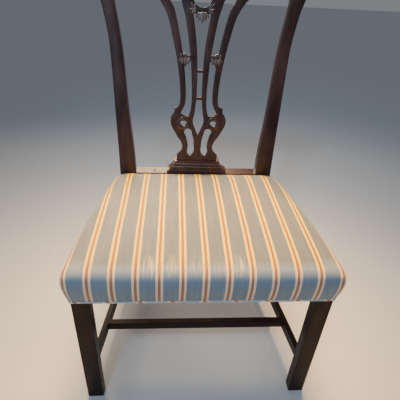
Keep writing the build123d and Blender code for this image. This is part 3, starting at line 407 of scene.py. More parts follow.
def stripedSatin(name, bias):
    # bands from cloth coordinates in metres, u across the stripes and v along them
    material, tree, shader = blankMaterial(name)
    cloth = addNode(tree, "ShaderNodeUVMap", uv_map="cloth").outputs[0]
    across, along, _ = axesOf(tree, cloth)
    centre = satin["cordCentre"] if bias else satin["centre"]
    if bias:
        across = sums(tree, "MULTIPLY", sums(tree, "ADD", across, along), math.sqrt(0.5))  # cut at 45 degrees
    else:
        across = sums(tree, "MULTIPLY_ADD", along, -satin["lean"], across)
    waver = sums(tree, "SUBTRACT", noise(tree, cloth, *satin["waver"]), 0.5)
    across = sums(tree, "MULTIPLY_ADD", waver, satin["waverBy"], across)
    turns = sums(tree, "DIVIDE", sums(tree, "SUBTRACT", across, centre), satin["pitch"])
    share = sums(tree, "FRACT", sums(tree, "ADD", turns, satin["wholeTurns"] + 0.5))
    part = sums(tree, "ABSOLUTE", sums(tree, "SUBTRACT", share, 0.5))
    yarn = noise(tree, stretched(tree, cloth, satin["streaks"]), *satin["yarn"])
    if bias:
        shown = bandColours(tree, part, yarn, satin["cord"])
    else:
        fade = axesOf(tree, addNode(tree, "ShaderNodeUVMap", uv_map="fade").outputs[0])[0]
        shown = bandColours(tree, part, yarn, satin["top"])
        # down the edge, the roll's painted sheen and the drop's painted cool shade blend over the top's tones
        for tones, (start, end) in satin["fades"].items():
            lower = bandColours(tree, part, yarn, satin[tones])
            shown = blended(tree, mapped(tree, fade, start, end), shown, lower)
        # pale worn threads, partly a painted sheen, laid over the front edge
        shown = blended(tree, wornSheenShare(tree, cloth, across, along), shown, (*satin["wornSheenTone"], 1))
    ribs = sums(tree, "SINE", sums(tree, "MULTIPLY", along, 2 * math.pi / satin["ribs"]))
    height = sums(tree, "MULTIPLY", yarn, satin["yarnShare"])
    height = sums(tree, "MULTIPLY_ADD", ribs, satin["ribShare"], height)
    feed(tree, shader, {
        "Base Color": shown, "Normal": bumped(tree, height, *satin["bump"]),
        "Roughness": mapped(tree, yarn, *satin["yarnRange"], *satin["roughness"]),
        "Specular IOR Level": satin["gloss"], "Sheen Weight": satin["sheen"],
        "Sheen Roughness": satin["sheenRoughness"], "Sheen Tint": satin["sheenTint"],
    })
    return material


# the hidden frame's materials
woven = {
    "slub": (240.0, 4.0), "weaveShare": 0.22, "stops": (0.3, 0.75), "bump": (0.5, 0.0006),
    "roughness": 0.92, "gloss": 0.25,
}
sawn = {
    "grain": (9, 120, 120), "figure": (1.0, 6.0, 0.5, 0.4), "stops": (0.35, 0.65), "bump": (0.2, 0.0005),
    "roughness": 0.7,
}
stained = {"stain": (420.0, 5.0), "stops": (0.35, 0.65), "smoother": 0.1, "rougher": 0.15}


def wovenCloth(name, dark, light, pitch):
    material, tree, shader = blankMaterial(name)
    place = objectPlace(tree)
    axes = axesOf(tree, place)
    warp, weft = (sums(tree, "SINE", sums(tree, "MULTIPLY", axes[i], 2 * math.pi / pitch)) for i in (0, 1))
    weave = sums(tree, "MULTIPLY", warp, weft)
    mixed = sums(tree, "MULTIPLY_ADD", weave, woven["weaveShare"], noise(tree, place, *woven["slub"]))
    feed(tree, shader, {
        "Base Color": ramp(tree, mixed, list(zip(woven["stops"], (dark, light)))),
        "Normal": bumped(tree, mixed, *woven["bump"]),
        "Roughness": woven["roughness"], "Specular IOR Level": woven["gloss"],
    })
    return material


def plainWood(name, dark, light):
    material, tree, shader = blankMaterial(name)
    figure = noise(tree, stretched(tree, objectPlace(tree), sawn["grain"]), *sawn["figure"])
    feed(tree, shader, {
        "Base Color": ramp(tree, figure, list(zip(sawn["stops"], (dark, light)))),
        "Normal": bumped(tree, figure, *sawn["bump"]), "Roughness": sawn["roughness"],
    })
    return material


def wornMetal(name, dark, light, rough):
    material, tree, shader = blankMaterial(name)
    stain = noise(tree, objectPlace(tree), *stained["stain"])
    feed(tree, shader, {
        "Base Color": ramp(tree, stain, list(zip(stained["stops"], (dark, light)))),
        "Roughness": mapped(tree, stain, 0.0, 1.0, rough - stained["smoother"], rough + stained["rougher"]),
        "Metallic": 1.0,
    })
    return material


woodUp = polishedWood("mahoganyUpright", "z")
woodAcross = polishedWood("mahoganyAcross", "x")
woodCarved = polishedWood("mahoganyCarved", "z", "carvedPolish", coat=0.7)
# the leaves' paler tones are a painted highlight; their coat gives a real gloss
leafPaintedHighlightWood = polishedWood("mahoganyLeafPaintedHighlight", "z", "carvedPolish", coat=1.0, gloss=0.5, tones="leaf")
leafPaintedHighlightWood.node_tree.nodes["Principled BSDF"].inputs["Coat IOR"].default_value = mahogany["leafWax"]
beadPaintedHighlightWood = polishedWood("mahoganyBeadPaintedHighlight", "x", coat=0.6, gloss=0.4, tones="bead")
legWood = polishedWood("mahoganyLeg", "z", "dullPolish", coat=0.03, gloss=0.14)
stretcherWood = polishedWood("mahoganyStretcher", "x", "dullPolish", coat=0.05, gloss=0.18)
sideStretcherWood = polishedWood("mahoganySideStretcher", "y", "dullPolish", coat=0.05, gloss=0.18)
seatSatin = stripedSatin("seatSatin", bias=False)
pipingSatin = stripedSatin("pipingSatin", bias=True)
beech = plainWood("frameBeech", (0.36, 0.23, 0.12), (0.58, 0.42, 0.26))
jute = wovenCloth("juteWebbing", (0.28, 0.19, 0.09), (0.55, 0.42, 0.25), 0.0022)
hessianCloth = wovenCloth("hessianCloth", (0.26, 0.18, 0.09), (0.52, 0.40, 0.24), 0.0016)
curledHair = wovenCloth("curledHair", (0.015, 0.011, 0.008), (0.09, 0.065, 0.045), 0.0035)
dustCotton = wovenCloth("dustCotton", (0.010, 0.010, 0.011), (0.040, 0.040, 0.043), 0.0009)
screwSteel = wornMetal("screwSteel", (0.28, 0.27, 0.26), (0.55, 0.54, 0.52), 0.38)
tackIron = wornMetal("tackIron", (0.02, 0.02, 0.025), (0.09, 0.09, 0.10), 0.45)

# finishes of the CAD nodes that stay, by the start of their names
nodeFinish = {
    "front_leg": legWood, "cross_stretcher": stretcherWood, "rear_stretcher": stretcherWood,
    "side_stretcher": sideStretcherWood, "rail_pegs": woodUp, "stretcher_pegs": woodUp,
    "front_seat_rail": beech, "side_seat_rail": beech, "front_corner_block": beech,
    "rear_corner_block": beech, "webbing_length": jute, "webbing_cross": jute, "hessian": hessianCloth,
    "hair_stuffing": curledHair, "corner_block_screws": screwSteel, "webbing_tacks": tackIron,
    "dust_cover_tacks": tackIron,
}
for nodeName, part in nodes.items():
    for start, finish in nodeFinish.items():
        if nodeName.startswith(start) and part.material_slots:
            part.material_slots[0].material = finish
        elif nodeName.startswith(start):
            part.data.materials.append(finish)
print("materials made")

# the stuffed seat, in millimetres: rings from the crown's middle out over the edge and down to the hem
seat = {
    "legSpread": 555.0, "postSpread": 440.0, "depth": 431.0, "middle": 192.0, "crown": 440.6,
    # run from the middle, front height, rear height, growth past the rails, rear growth, rear edge,
    # front round, rear round, bow and spread of the sides, drop of the rear edge behind the strip's lip
    "rings": [
        (0.0, 440.6, 440.6, -140.0, -115.0, 180.0, 40.0, 30.0, 2.0, 0.0, 0.0),
        (75.0, 440.0, 437.0, -140.0, -115.0, 180.0, 40.0, 30.0, 2.0, 0.0, 0.0),
        (132.0, 438.0, 432.6, -83.0, -75.0, 112.0, 40.0, 30.0, 4.4, 0.0, 0.0),
        (189.0, 434.4, 425.4, -26.0, -34.3, 45.0, 40.0, 24.0, 8.8, 2.7, 1.2),
        (201.0, 432.6, 421.8, -14.7, -23.8, 28.8, 32.0, 21.0, 11.0, 3.6, 2.9),
        (212.0, 430.2, 417.4, -4.2, -14.0, 14.0, 24.0, 18.0, 12.5, 4.5, 6.1),
        (228.0, 419.6, 410.8, 7.0, -2.8, 3.0, 18.8, 10.0, 12.5, 4.5, 7.4),
        (248.0, 399.6, 397.2, 10.5, 3.0, 0.6, 16.0, 5.0, 9.0, 3.2, 4.0),
        (272.0, 374.0, 374.0, 7.0, 3.0, 0.6, 9.0, 3.0, 4.0, 0.9, 0.0),
        (295.0, 351.6, 351.6, 2.5, 2.5, 0.6, 4.5, 2.0, 0.5, 0.0, 0.0),
    ],
    "crownRun": 75.0, "edgeRun": 212.0, "hemRun": 295.0, "dropFrom": 0.86,
    # runs where the top's sun-faded and warm-painted tones start to go over into the roll's painted sheen and
    # the drop's painted shade, and where the front gives way to the sides
    "fadeFront": 186.0, "fadeSide": 203.0, "fadeCorner": 0.8,
    "cells": (64, 50), "skirtRings": 12, "rearRow": 0.999, "thick": 1.4,
    "puff": 2.0, "swellSteps": 3,
    "stuffing": {
        "quality": 6, "mass": 0.25, "tension_stiffness": 25, "compression_stiffness": 25,
        "shear_stiffness": 8, "bending_stiffness": 0.6, "use_pressure": True,
        "uniform_pressure_force": 3.5, "vertex_group_mass": "hem",
    },
}
splay = (seat["legSpread"] - seat["postSpread"]) / 2 / seat["depth"]


def railHalf(depth, out):
    # half the width over the side rails at a depth, moved square out of them
    return seat["legSpread"] / 2 - splay * depth + out * math.hypot(1, splay)


def ringShape(run):
    table = np.array(seat["rings"])
    return [float(easeThrough(table[:, 0], column, run)) for column in table.T[1:]]


def roundedSpot(sa, sb, acrossHalf, backHalf, corner):
    # the square's edge drawn in to a rounded corner, with the way out at that spot
    rx, ry = corner / acrossHalf, corner / backHalf
    ca, cb = 1 - rx, 1 - ry
    a, b = abs(sa), abs(sb)
    if a > ca and b > cb:
        angle = (a - ca) / rx * math.pi / 4 if b >= a else math.pi / 2 - (b - cb) / ry * math.pi / 4
        a, b = ca + rx * math.sin(angle), cb + ry * math.cos(angle)
        out = (math.sin(angle), math.cos(angle))
    else:
        out = (0.0, 1.0) if b >= a else (1.0, 0.0)
    return math.copysign(a, sa), math.copysign(b, sb), math.copysign(out[0], sa), math.copysign(out[1], sb)


def ringSpot(sa, sb, run):
    frontZ, rearZ, growth, rearGrowth, rearEdge, frontRound, rearRound, bow, spread, drop = ringShape(run)
    near, far = -growth, seat["depth"] - rearEdge
    nearX = railHalf(near, growth) + spread
    farX = seat["postSpread"] / 2 + splay * (seat["depth"] - far) + rearGrowth
    corner = frontRound if sb < 0 else rearRound
    a, b, outX, outY = roundedSpot(sa, sb, (nearX if sb < 0 else farX), (far - near) / 2, corner)
    half = nearX + (farX - nearX) * (b + 1) / 2 + bow * (1 - b * b)
    late = max(0, (b - seat["dropFrom"]) / (1 - seat["dropFrom"]))
    height = frontZ + (rearZ - frontZ) * (b + 1) / 2 - drop * late * late * (3 - 2 * late)
    spot = Vector((a * half, (near + far) / 2 + b * (far - near) / 2, height))
    return spot, outX, outY


def seatRun(r, ring):
    if ring == 0:
        return r * seat["edgeRun"]
    return seat["edgeRun"] + (seat["hemRun"] - seat["edgeRun"]) * ring / seat["skirtRings"]


def fadeShare(a, b, ring):
    # how far down a grid spot lies, from where the top's tones start to blend into the painted sheen and
    # shade, to the hem
    r = max(abs(a), abs(b), tiny)
    front = min(1, max(0, (-b / r - seat["fadeCorner"]) / (1 - seat["fadeCorner"])))
    start = seat["fadeSide"] + (seat["fadeFront"] - seat["fadeSide"]) * front
    return max(0, seatRun(r, ring) - start) / (seat["hemRun"] - start)


def seatSpot(a, b, ring):
    # where a grid spot lies on the seat, and its place on the flat cloth
    r = max(abs(a), abs(b))
    middle = Vector((0, seat["middle"], seat["crown"]))
    if r < tiny:
        return middle, (0.0, middle.y)
    sa, sb = a / r, b / r
    run = seatRun(r, ring)
    spot, outX, outY = ringSpot(sa, sb, run)
    if run < seat["crownRun"]:
        rim, _, _ = ringSpot(sa, sb, seat["crownRun"])
        level = spot.z
        spot = middle.lerp(rim, run / seat["crownRun"])
        spot.z = level
    if ring == 0:
        return spot, (spot.x, spot.y)
    edge, _, _ = ringSpot(sa, sb, seat["edgeRun"])
    drop, front, side = run - seat["edgeRun"], outY * outY, outX * outX
    u = front * spot.x + side * (edge.x + outX * drop)
    v = side * spot.y + front * (edge.y + outY * drop)
    return spot, (u, v)


def makeSeat():
    deselect()
    bpy.ops.mesh.primitive_grid_add(x_subdivisions=seat["cells"][0], y_subdivisions=seat["cells"][1], size=2)
    cover = bpy.context.object
    cover.name = "seatCover"
    editWhole(cover)
    bpy.ops.mesh.region_to_loop()
    for _ in range(seat["skirtRings"]):
        bpy.ops.mesh.extrude_edges_move(TRANSFORM_OT_translate={"value": (0, 0, -1)})
    setMode("OBJECT")
    mesh = cover.data
    flat, down = {}, {}
    hem = cover.vertex_groups.new(name="hem")
    for vert in mesh.vertices:
        ring = round(-vert.co.z)
        spot, flat[vert.index] = seatSpot(vert.co.x, vert.co.y, ring)
        down[vert.index] = fadeShare(vert.co.x, vert.co.y, ring)
        if ring == seat["skirtRings"] or vert.co.y > seat["rearRow"]:
            hem.add([vert.index], 1.0, "REPLACE")
        vert.co = toPart(spot)
    for other in list(mesh.uv_layers):
        mesh.uv_layers.remove(other)
    for name in ("cloth", "fade"):
        mesh.uv_layers.new(name=name)
    for loop in mesh.loops:
        u, v = flat[loop.vertex_index]
        mesh.uv_layers["cloth"].data[loop.index].uv = (u / 1000, v / 1000)
        mesh.uv_layers["fade"].data[loop.index].uv = (down[loop.vertex_index], 0)
    turnOutward(cover)
    return cover


def vertexPlaces(mesh):
    places = np.zeros(len(mesh.vertices) * 3)
    mesh.vertices.foreach_get("co", places)
    return places.reshape(-1, 3)


def puffSeat(cover):
    # the stuffing presses the cloth out while its hem stays tacked; a few steps come out alike each run
    start = vertexPlaces(cover.data)
    cloth = cover.modifiers.new("stuffing", "CLOTH")
    for key, value in seat["stuffing"].items():
        setattr(cloth.settings, key, value)
    cloth.settings.effector_weights.gravity = 0
    cloth.collision_settings.use_collision = False
    cloth.point_cache.frame_start, cloth.point_cache.frame_end = 1, seat["swellSteps"]
    scene = bpy.context.scene
    for step in range(seat["swellSteps"]):
        scene.frame_set(step + 1)
    applyModifiers(cover)
    scene.frame_set(1)
    shift = vertexPlaces(cover.data) - start
    length = np.linalg.norm(shift, axis=1, keepdims=True)
    shift *= np.minimum(1, seat["puff"] / 1000 / np.maximum(length, tiny / 1000))
    cover.data.vertices.foreach_set("co", (start + shift).astype(np.float32).ravel())
    cover.data.update()
    print("seat swelled by up to", round(1000 * float(length.max()), 1), "mm, kept to", seat["puff"])


# a small pleat takes up the cloth at each front corner, above the hem
pleat = {
    "out": 3.0, "cutReach": 20.0, "cutBack": 16.0, "cuts": 2, "reach": 24.0, "back": 20.0, "inset": 2.0,
    "top": 404.0, "foot": 352.0, "fade": 30.0, "lean": 0.10, "diagonal": 0.707,
    "ridge": (1.5, 2.6, 2.6), "groove": (1.9, -1.0, 1.3),  # height, place and width
}


def hump(at, height, place, width):
    return height * math.exp(-((at - place) / width) ** 2)


def foldCorners(cover):
    reach = seat["legSpread"] / 2 + pleat["out"]
    editWhole(cover)
    bpy.ops.mesh.select_mode(type="FACE")
    bpy.ops.mesh.select_all(action="DESELECT")
    mesh = bmesh.from_edit_mesh(cover.data)
    for face in mesh.faces:
        spot = face.calc_center_median() * 1000
        atFront = spot.y - legFront * 1000 < pleat["cutBack"]
        atCorner = atFront and abs(abs(spot.x) - reach) < pleat["cutReach"]
        face.select = atCorner and spot.z < pleat["top"]
    bmesh.update_edit_mesh(cover.data)
    bpy.ops.mesh.subdivide(number_cuts=pleat["cuts"], smoothness=1.0)
    setMode("OBJECT")
    for vert in cover.data.vertices:
        x, y, z = vert.co.x * 1000, (vert.co.y - legFront) * 1000, vert.co.z * 1000
        if abs(abs(x) - reach) > pleat["reach"] or y > pleat["back"] or z > pleat["top"]:
            continue
        along = ((abs(x) - reach + pleat["inset"]) + (y + pleat["inset"])) / math.sqrt(2)
        along -= pleat["lean"] * (z - pleat["foot"])
        depth = min(1, (pleat["top"] - z) / pleat["fade"])
        rise = hump(along, *pleat["ridge"]) - hump(along, *pleat["groove"])
        vert.co.x += math.copysign(1, x) * depth * rise * pleat["diagonal"] / 1000
        vert.co.y -= depth * rise * pleat["diagonal"] / 1000


cover = makeSeat()
puffSeat(cover)
shell = cover.modifiers.new("cloth", "SOLIDIFY")
shell.thickness = seat["thick"] / 1000
shell.offset = -1
shell.use_rim = True
applyModifiers(cover)
fine = cover.modifiers.new("fine", "SUBSURF")
fine.levels = fine.render_levels = 1
applyModifiers(cover)
foldCorners(cover)
smoothAll(cover)
settle(cover, seatSatin, "striped_satin", "seat_cover")
print("seat made:", len(cover.data.polygons), "faces")

# piping under the cover's edge, from post to post round the front
piping = {
    "radius": 2.3, "height": 350.6, "out": 2.3, "corner": 4.6, "sides": 12, "endGap": 0.4,
    "sideSpots": 100, "cornerSpots": 9, "frontSpots": 136, "smooth": 60,
    "waver": ((0.35, 0.021, 1.3), (0.25, 0.047, 0.006)),  # rise and fall along the front and the sides
}


def pipingLine():
    out, corner = piping["out"], piping["corner"]
    turnY = corner - out
    turnX = railHalf(turnY, out) - corner
    side = np.linspace(seat["depth"] - piping["endGap"], turnY, piping["sideSpots"])
    path = [(railHalf(d, out), d) for d in side]
    for t in np.linspace(0, math.pi / 2, piping["cornerSpots"])[1:]:
        path.append((turnX + corner * math.cos(t), turnY - corner * math.sin(t)))
    otherSide = [(-x, y) for x, y in reversed(path)]
    front = np.linspace(turnX, -turnX, piping["frontSpots"])[1:-1]
    path = path + [(x, -out) for x in front] + otherSide
    (byFront, pace, start), (bySide, sidePace, slant) = piping["waver"]
    line = []
    for x, y in path:
        rise = byFront * math.sin(pace * x + start) + bySide * math.sin(sidePace * y + slant * x)
        line.append(Vector((x, y, piping["height"] + rise)))
    return line


def makePiping():
    line = pipingLine()
    sides = piping["sides"]
    verts, faces, run, along = [], [], 0.0, []
    for i, spot in enumerate(line):
        ahead = (line[min(i + 1, len(line) - 1)] - line[max(i - 1, 0)]).normalized()
        across = ahead.cross(Vector((0, 0, 1))).normalized()
        up = across.cross(ahead)
        if i:
            run += (spot - line[i - 1]).length
        along.append(run / 1000)
        for k in range(sides):
            turn = 2 * math.pi * k / sides
            verts.append(toPart(spot + (across * math.cos(turn) + up * math.sin(turn)) * piping["radius"]))
    for i in range(len(line) - 1):
        for k in range(sides):
            a, b = i * sides + k, i * sides + (k + 1) % sides
            faces.append((a, b, b + sides, a + sides))
    faces.append(tuple(range(sides - 1, -1, -1)))
    faces.append(tuple(range((len(line) - 1) * sides, len(line) * sides)))
    mesh = bpy.data.meshes.new("piping")
    mesh.from_pydata([tuple(v) for v in verts], [], faces)
    cord = bpy.data.objects.new("seatPiping", mesh)
    bpy.context.scene.collection.objects.link(cord)
    layer = mesh.uv_layers.new(name="cloth")
    girth = 2 * math.pi * piping["radius"] / 1000
    for face in mesh.polygons:
        for loopIndex in face.loop_indices:
            index = mesh.loops[loopIndex].vertex_index
            k = index % sides
            if k == 0 and any(mesh.loops[j].vertex_index % sides == sides - 1 for j in face.loop_indices):
                k = sides
            layer.data[loopIndex].uv = (girth * k / sides, along[index // sides])
    turnOutward(cord)
    smoothByAngle(cord, piping["smooth"])
    return cord


cord = makePiping()
settle(cord, pipingSatin, "piping_satin", "piping")
print("piping made")

# the back's own plane: across, up the back, and out of its front
back = {"rake": 8.5, "depth": 431.0, "turn": 418.0, "curveSteps": 10, "edgeSteps": 3, "smooth": 35}
lean = math.radians(back["rake"])
backPlane = Matrix((
    (1, 0, 0, 0),
    (0, math.sin(lean), -math.cos(lean), legFront + back["depth"] / 1000),
    (0, math.cos(lean), math.sin(lean), back["turn"] / 1000),
    (0, 0, 0, 1),
))


def addOutline(curve, points, mirrored):
    # a closed line; a third value marks a sharp corner
    if mirrored:
        points = list(points) + [(-p[0], *p[1:]) for p in reversed(points) if abs(p[0]) > tiny]
    line = curve.splines.new("BEZIER")
    line.bezier_points.add(len(points) - 1)
    line.use_cyclic_u = True
    for knot, point in zip(line.bezier_points, points):
        knot.co = (point[0] / 1000, point[1] / 1000, 0)
        kind = "VECTOR" if len(point) > 2 else "AUTO"
        knot.handle_left_type = knot.handle_right_type = kind


def boardFrom(name, outlines, thickness, edge, front):
    # a shaped and pierced board in the back's plane, with rounded edges
    curve = bpy.data.curves.new(name, "CURVE")
    curve.dimensions = "2D"
    curve.fill_mode = "BOTH"
    curve.resolution_u = back["curveSteps"]
    curve.extrude = (thickness / 2 - edge) / 1000
    curve.bevel_depth = edge / 1000
    curve.bevel_resolution = back["edgeSteps"]
    curve.offset = -edge / 1000
    for points, mirrored in outlines:
        addOutline(curve, points, mirrored)
    board = bpy.data.objects.new(name, curve)
    bpy.context.scene.collection.objects.link(board)
    makeActive(board)
    bpy.ops.object.convert(target="MESH")
    board = bpy.context.object
    editWhole(board)
    bpy.ops.mesh.remove_doubles(threshold=weldGap)
    turnOutward(board)
    board.data.transform(backPlane @ Matrix.Translation((0, 0, -(front + thickness / 2) / 1000)))
    smoothByAngle(board, back["smooth"])
    return board


# crest rail with a serpentine top and upturned ears
crest = {
    "thickness": 24.0, "edge": 2.6,
    "outline": [
        (0, 538), (76, 532.7), (164.5, 518), (215, 519.3), (263, 529), (272, 525), (273, 509), (263, 477.8),
        (253, 449, 1), (217.5, 449, 1), (209.5, 454.3), (177.8, 464.8), (138, 470), (60, 470), (0, 470),
    ],
}
crestBoard = boardFrom("crestRail", [(crest["outline"], True)], crest["thickness"], crest["edge"], 0)
settle(crestBoard, woodAcross, "mahogany", "crest_rail")
print("crest rail made")

# splat: outline and middle piercings as right halves, side piercings whole
splat = {
    "thickness": 12.0, "edge": 1.6, "setback": 8.1,
    "outline": [
        (0, 20, 1), (58, 20, 1), (58, 43, 1), (44.5, 57), (43.5, 72.5), (60.5, 102), (76.5, 138), (73, 155.5),
        (66.3, 164.5, 1), (66.2, 175.5, 1), (55, 181.8), (51.6, 193), (51, 213), (57.5, 277), (72, 350),
        (93.5, 419), (138, 472, 1), (0, 472, 1),
    ],
    "middle": [
        [(0, 99.5, 1), (10, 122.5), (15, 138.5), (12, 159.5), (7.4, 199.3, 1), (0, 199.3, 1)],
        [(0, 206.5, 1), (6.8, 206.5, 1), (7.4, 270, 1), (0, 270, 1)],
        [(0, 277, 1), (7.6, 277, 1), (10.4, 327), (16.4, 373.5), (22.3, 410, 1), (0, 410, 1)],
        [(0, 424.3), (15.6, 429.9), (22, 443.3), (15.6, 456.7), (0, 462.3)],
    ],
    "side": [
        [
            (22, 41), (28.5, 49.5), (27, 68.5), (33.2, 96.5), (38, 113), (24.5, 119), (14.9, 99.5),
            (10.4, 70.5), (13, 46),
        ],
        [
            (26.5, 154.5, 1), (39, 156), (50, 161.5, 1), (38.5, 186), (36.3, 206), (38.6, 252),
            (43.4, 297, 1), (24.8, 297, 1), (21.7, 252), (19.8, 210.5), (21.9, 172),
        ],
        [
            (26.9, 313, 1), (46, 313, 1), (57.6, 373), (69.6, 419), (84, 454), (77, 462.5), (66.5, 459),
            (46.5, 419), (36, 373),
        ],
        [
            (41.2, 127.2), (47.4, 129.4), (50, 134.5), (47.4, 139.6), (41.2, 141.8), (35, 139.6),
            (32.4, 134.5), (35, 129.4),
        ],
    ],
}
splatLines = [(splat["outline"], True)] + [(line, True) for line in splat["middle"]]
for hand in (1, -1):
    splatLines += [([(hand * p[0], *p[1:]) for p in line], False) for line in splat["side"]]
splatBoard = boardFrom("splat", splatLines, splat["thickness"], splat["edge"], splat["setback"])
settle(splatBoard, woodUp, "mahogany", "splat")
print("splat made:", len(splatBoard.data.polygons), "faces")

# the shoe under the splat with its arrises eased and two beads, made paler as a painted highlight
shoe = {
    "arris": 1.1, "easeFrom": 30, "beadSteps": 4, "beadBack": 442.0,
    # half width, front, bottom and top of each bead
    "beads": [("Upper", 66.4, 432.9, 433.4, 436.6), ("Lower", 69.2, 431.8, 424.4, 427.8)],
}
# the rail below the shoe with an old nail hole
rail = {
    "holeAcross": -122.0, "holeBack": 446.6, "top": 407.0, "holeRadius": 3.4, "holeDepth": 16.0,
    "holeSides": 32,
}


def mergedCopy(nodeName, name):
    # a copy of a CAD node's mesh with its flat faces whole
    piece = nodes[nodeName].copy()
    piece.data = nodes[nodeName].data.copy()
    piece.name = name
    bpy.context.scene.collection.objects.link(piece)
    editWhole(piece)
    bpy.ops.mesh.remove_doubles(threshold=weldGap)
    bpy.ops.mesh.dissolve_limited(angle_limit=math.radians(1))
    setMode("OBJECT")
    bpy.ops.mesh.customdata_custom_splitnormals_clear()
    return piece


def makeShoe():
    body = mergedCopy("splat_shoe", "splatShoe")
    softenEdges(body, shoe["arris"] / 1000, shoe["easeFrom"])
    settle(body, woodAcross, "mahogany", "splat_shoe")
    for name, half, front, bottom, top in shoe["beads"]:
        low = toPart(Vector((-half, front, bottom)))
        high = toPart(Vector((half, shoe["beadBack"], top)))
        deselect()
        bpy.ops.mesh.primitive_cube_add(size=1, location=(low + high) / 2)
        bead = bpy.context.object
        bead.name = "shoeBead" + name
        bead.scale = high - low
        bpy.ops.object.transform_apply(location=True, rotation=True, scale=True)
        softenEdges(bead, shoe["arris"] / 1000, shoe["easeFrom"], shoe["beadSteps"])
        # the bead's paler tone is a painted highlight
        settle(bead, beadPaintedHighlightWood, "mahogany")


def makeRail():
    beam = mergedCopy("rear_seat_rail", "rearRail")
    deselect()
    bpy.ops.mesh.primitive_cylinder_add(
        vertices=rail["holeSides"], radius=rail["holeRadius"] / 1000, depth=2 * rail["holeDepth"] / 1000,
        location=toPart(Vector((rail["holeAcross"], rail["holeBack"], rail["top"]))),
    )
    bit = bpy.context.object
    bore = beam.modifiers.new("hole", "BOOLEAN")
    bore.operation = "DIFFERENCE"
    bore.solver = "EXACT"
    bore.object = bit
    applyModifiers(beam)
    bpy.data.objects.remove(bit)
    makeActive(beam)
    bpy.ops.object.shade_flat()
    settle(beam, woodAcross, "mahogany", "rear_seat_rail")


makeShoe()
makeRail()
print("shoe and rear rail made")

# rear posts: swept leg below, raked and spreading upright above
post = {
    "heights": [
        0, 25, 50, 75, 100, 125, 150, 175, 200, 225, 250, 275, 300, 345, 385, 400, 415, 430, 448, 475, 505,
        535, 565, 595, 625, 655, 685, 710, 735, 755, 775, 795, 812, 828, 842, 854, 865,
    ],
    # heights, and how far out the outer and the inner face lie there
    "outer": (
        (0, 217), (348, 220), (407, 220), (584.5, 224.6), (739, 230.2), (830, 243.4), (862, 253), (880, 260),
    ),
    "inner": (
        (0, 179), (348, 176), (407, 176), (584.5, 190.1), (739, 200.5), (830, 212.9), (862, 217.5),
        (880, 220),
    ),
    "sweep": (48.0, 44.0), "sweepTop": 300.0, "deep": 36.0, "bend": 400.0, "backSlope": 0.1251,
    "edge": 3.2, "easeFrom": 40,
}


def postDepth(height, sweep, start, slope):
    # how far back the front or back face lies at a height
    if height < post["sweepTop"]:
        radius = (post["sweepTop"] ** 2 + sweep ** 2) / (2 * sweep)
        return start + radius - math.sqrt(radius ** 2 - (post["sweepTop"] - height) ** 2)
    reach = post["bend"] * math.tan(math.atan(slope) / 2)
    low, high = back["turn"] - reach, back["turn"] + reach * math.cos(math.atan(slope))
    if height <= low:
        return start
    if height < high:
        return start + post["bend"] - math.sqrt(post["bend"] ** 2 - (height - low) ** 2)
    return start + (height - back["turn"]) * slope


def barThrough(name, rings):
    # a bar drawn out of a flat square, ring by ring
    deselect()
    bpy.ops.mesh.primitive_plane_add(size=1)
    bar = bpy.context.object
    bar.name = name
    setMode("EDIT")
    for i, ring in enumerate(rings):
        if i:
            bpy.ops.mesh.extrude_region_move()
        mesh = bmesh.from_edit_mesh(bar.data)
        face = next(f for f in mesh.faces if f.select)
        for vert, spot in zip(face.verts, ring):
            vert.co = spot
        bmesh.update_edit_mesh(bar.data)
    turnOutward(bar)
    return bar


def makePost(hand, side):
    outer = easeThrough(*zip(*post["outer"]), post["heights"])
    inner = easeThrough(*zip(*post["inner"]), post["heights"])
    rings = []
    for height, out, into in zip(post["heights"], outer, inner):
        front = postDepth(height, post["sweep"][0], back["depth"], math.tan(lean))
        rear = postDepth(height, post["sweep"][1], back["depth"] + post["deep"], post["backSlope"])
        corners = [(into, front), (out, front), (out, rear), (into, rear)]
        rings.append([toPart(Vector((hand * x, d, height))) for x, d in corners])
    bar = barThrough("rearPost" + side, rings)
    softenEdges(bar, post["edge"] / 1000, post["easeFrom"])
    settle(bar, woodUp, "mahogany", "rear_post_" + side.lower())


makePost(-1, "Left")
makePost(1, "Right")
print("rear posts made")

# carved leaves, each a cluster of lobes: across, up, length, width, turn in degrees, height
leaves = {
    "rib": [
        (40, 304, 26, 9, 180, 6.5), (34, 303, 18, 8, 170, 6.0), (47, 303, 18, 8, 190, 6.0),
        (50, 305, 14, 7, 215, 5.5), (31, 306, 13, 7, 150, 5.5), (36, 311, 16, 7, -60, 6.0),
        (50, 309, 11, 7, -15, 5.5),
    ],
    "pendant": [
        (0, 411, 29, 9, 180, 7.0), (-5, 411, 23, 8, 168, 6.5), (5, 411, 23, 8, 192, 6.5),
        (-9, 412, 17, 7, 150, 6.0), (9, 412, 17, 7, 210, 6.0),
    ],
    "spray": [
        (18, 417, 20, 8, -10, 6.0), (22, 419, 13, 7, -75, 5.5), (20, 416, 12, 6, -120, 5.5),
        (17, 418, 10, 6, 200, 5.5), (24, 427, 13, 6, -35, 5.0),
    ],
    "cells": (24, 16), "taper": 0.62, "taperPower": 1.5, "groove": (0.30, 0.0, 0.16), "flute": 0.10,
    "flutes": 9, "curl": 0.30, "rootShare": 0.32, "voxel": 0.6, "sink": 0.6, "ease": 0.5, "easeSteps": 2,
}


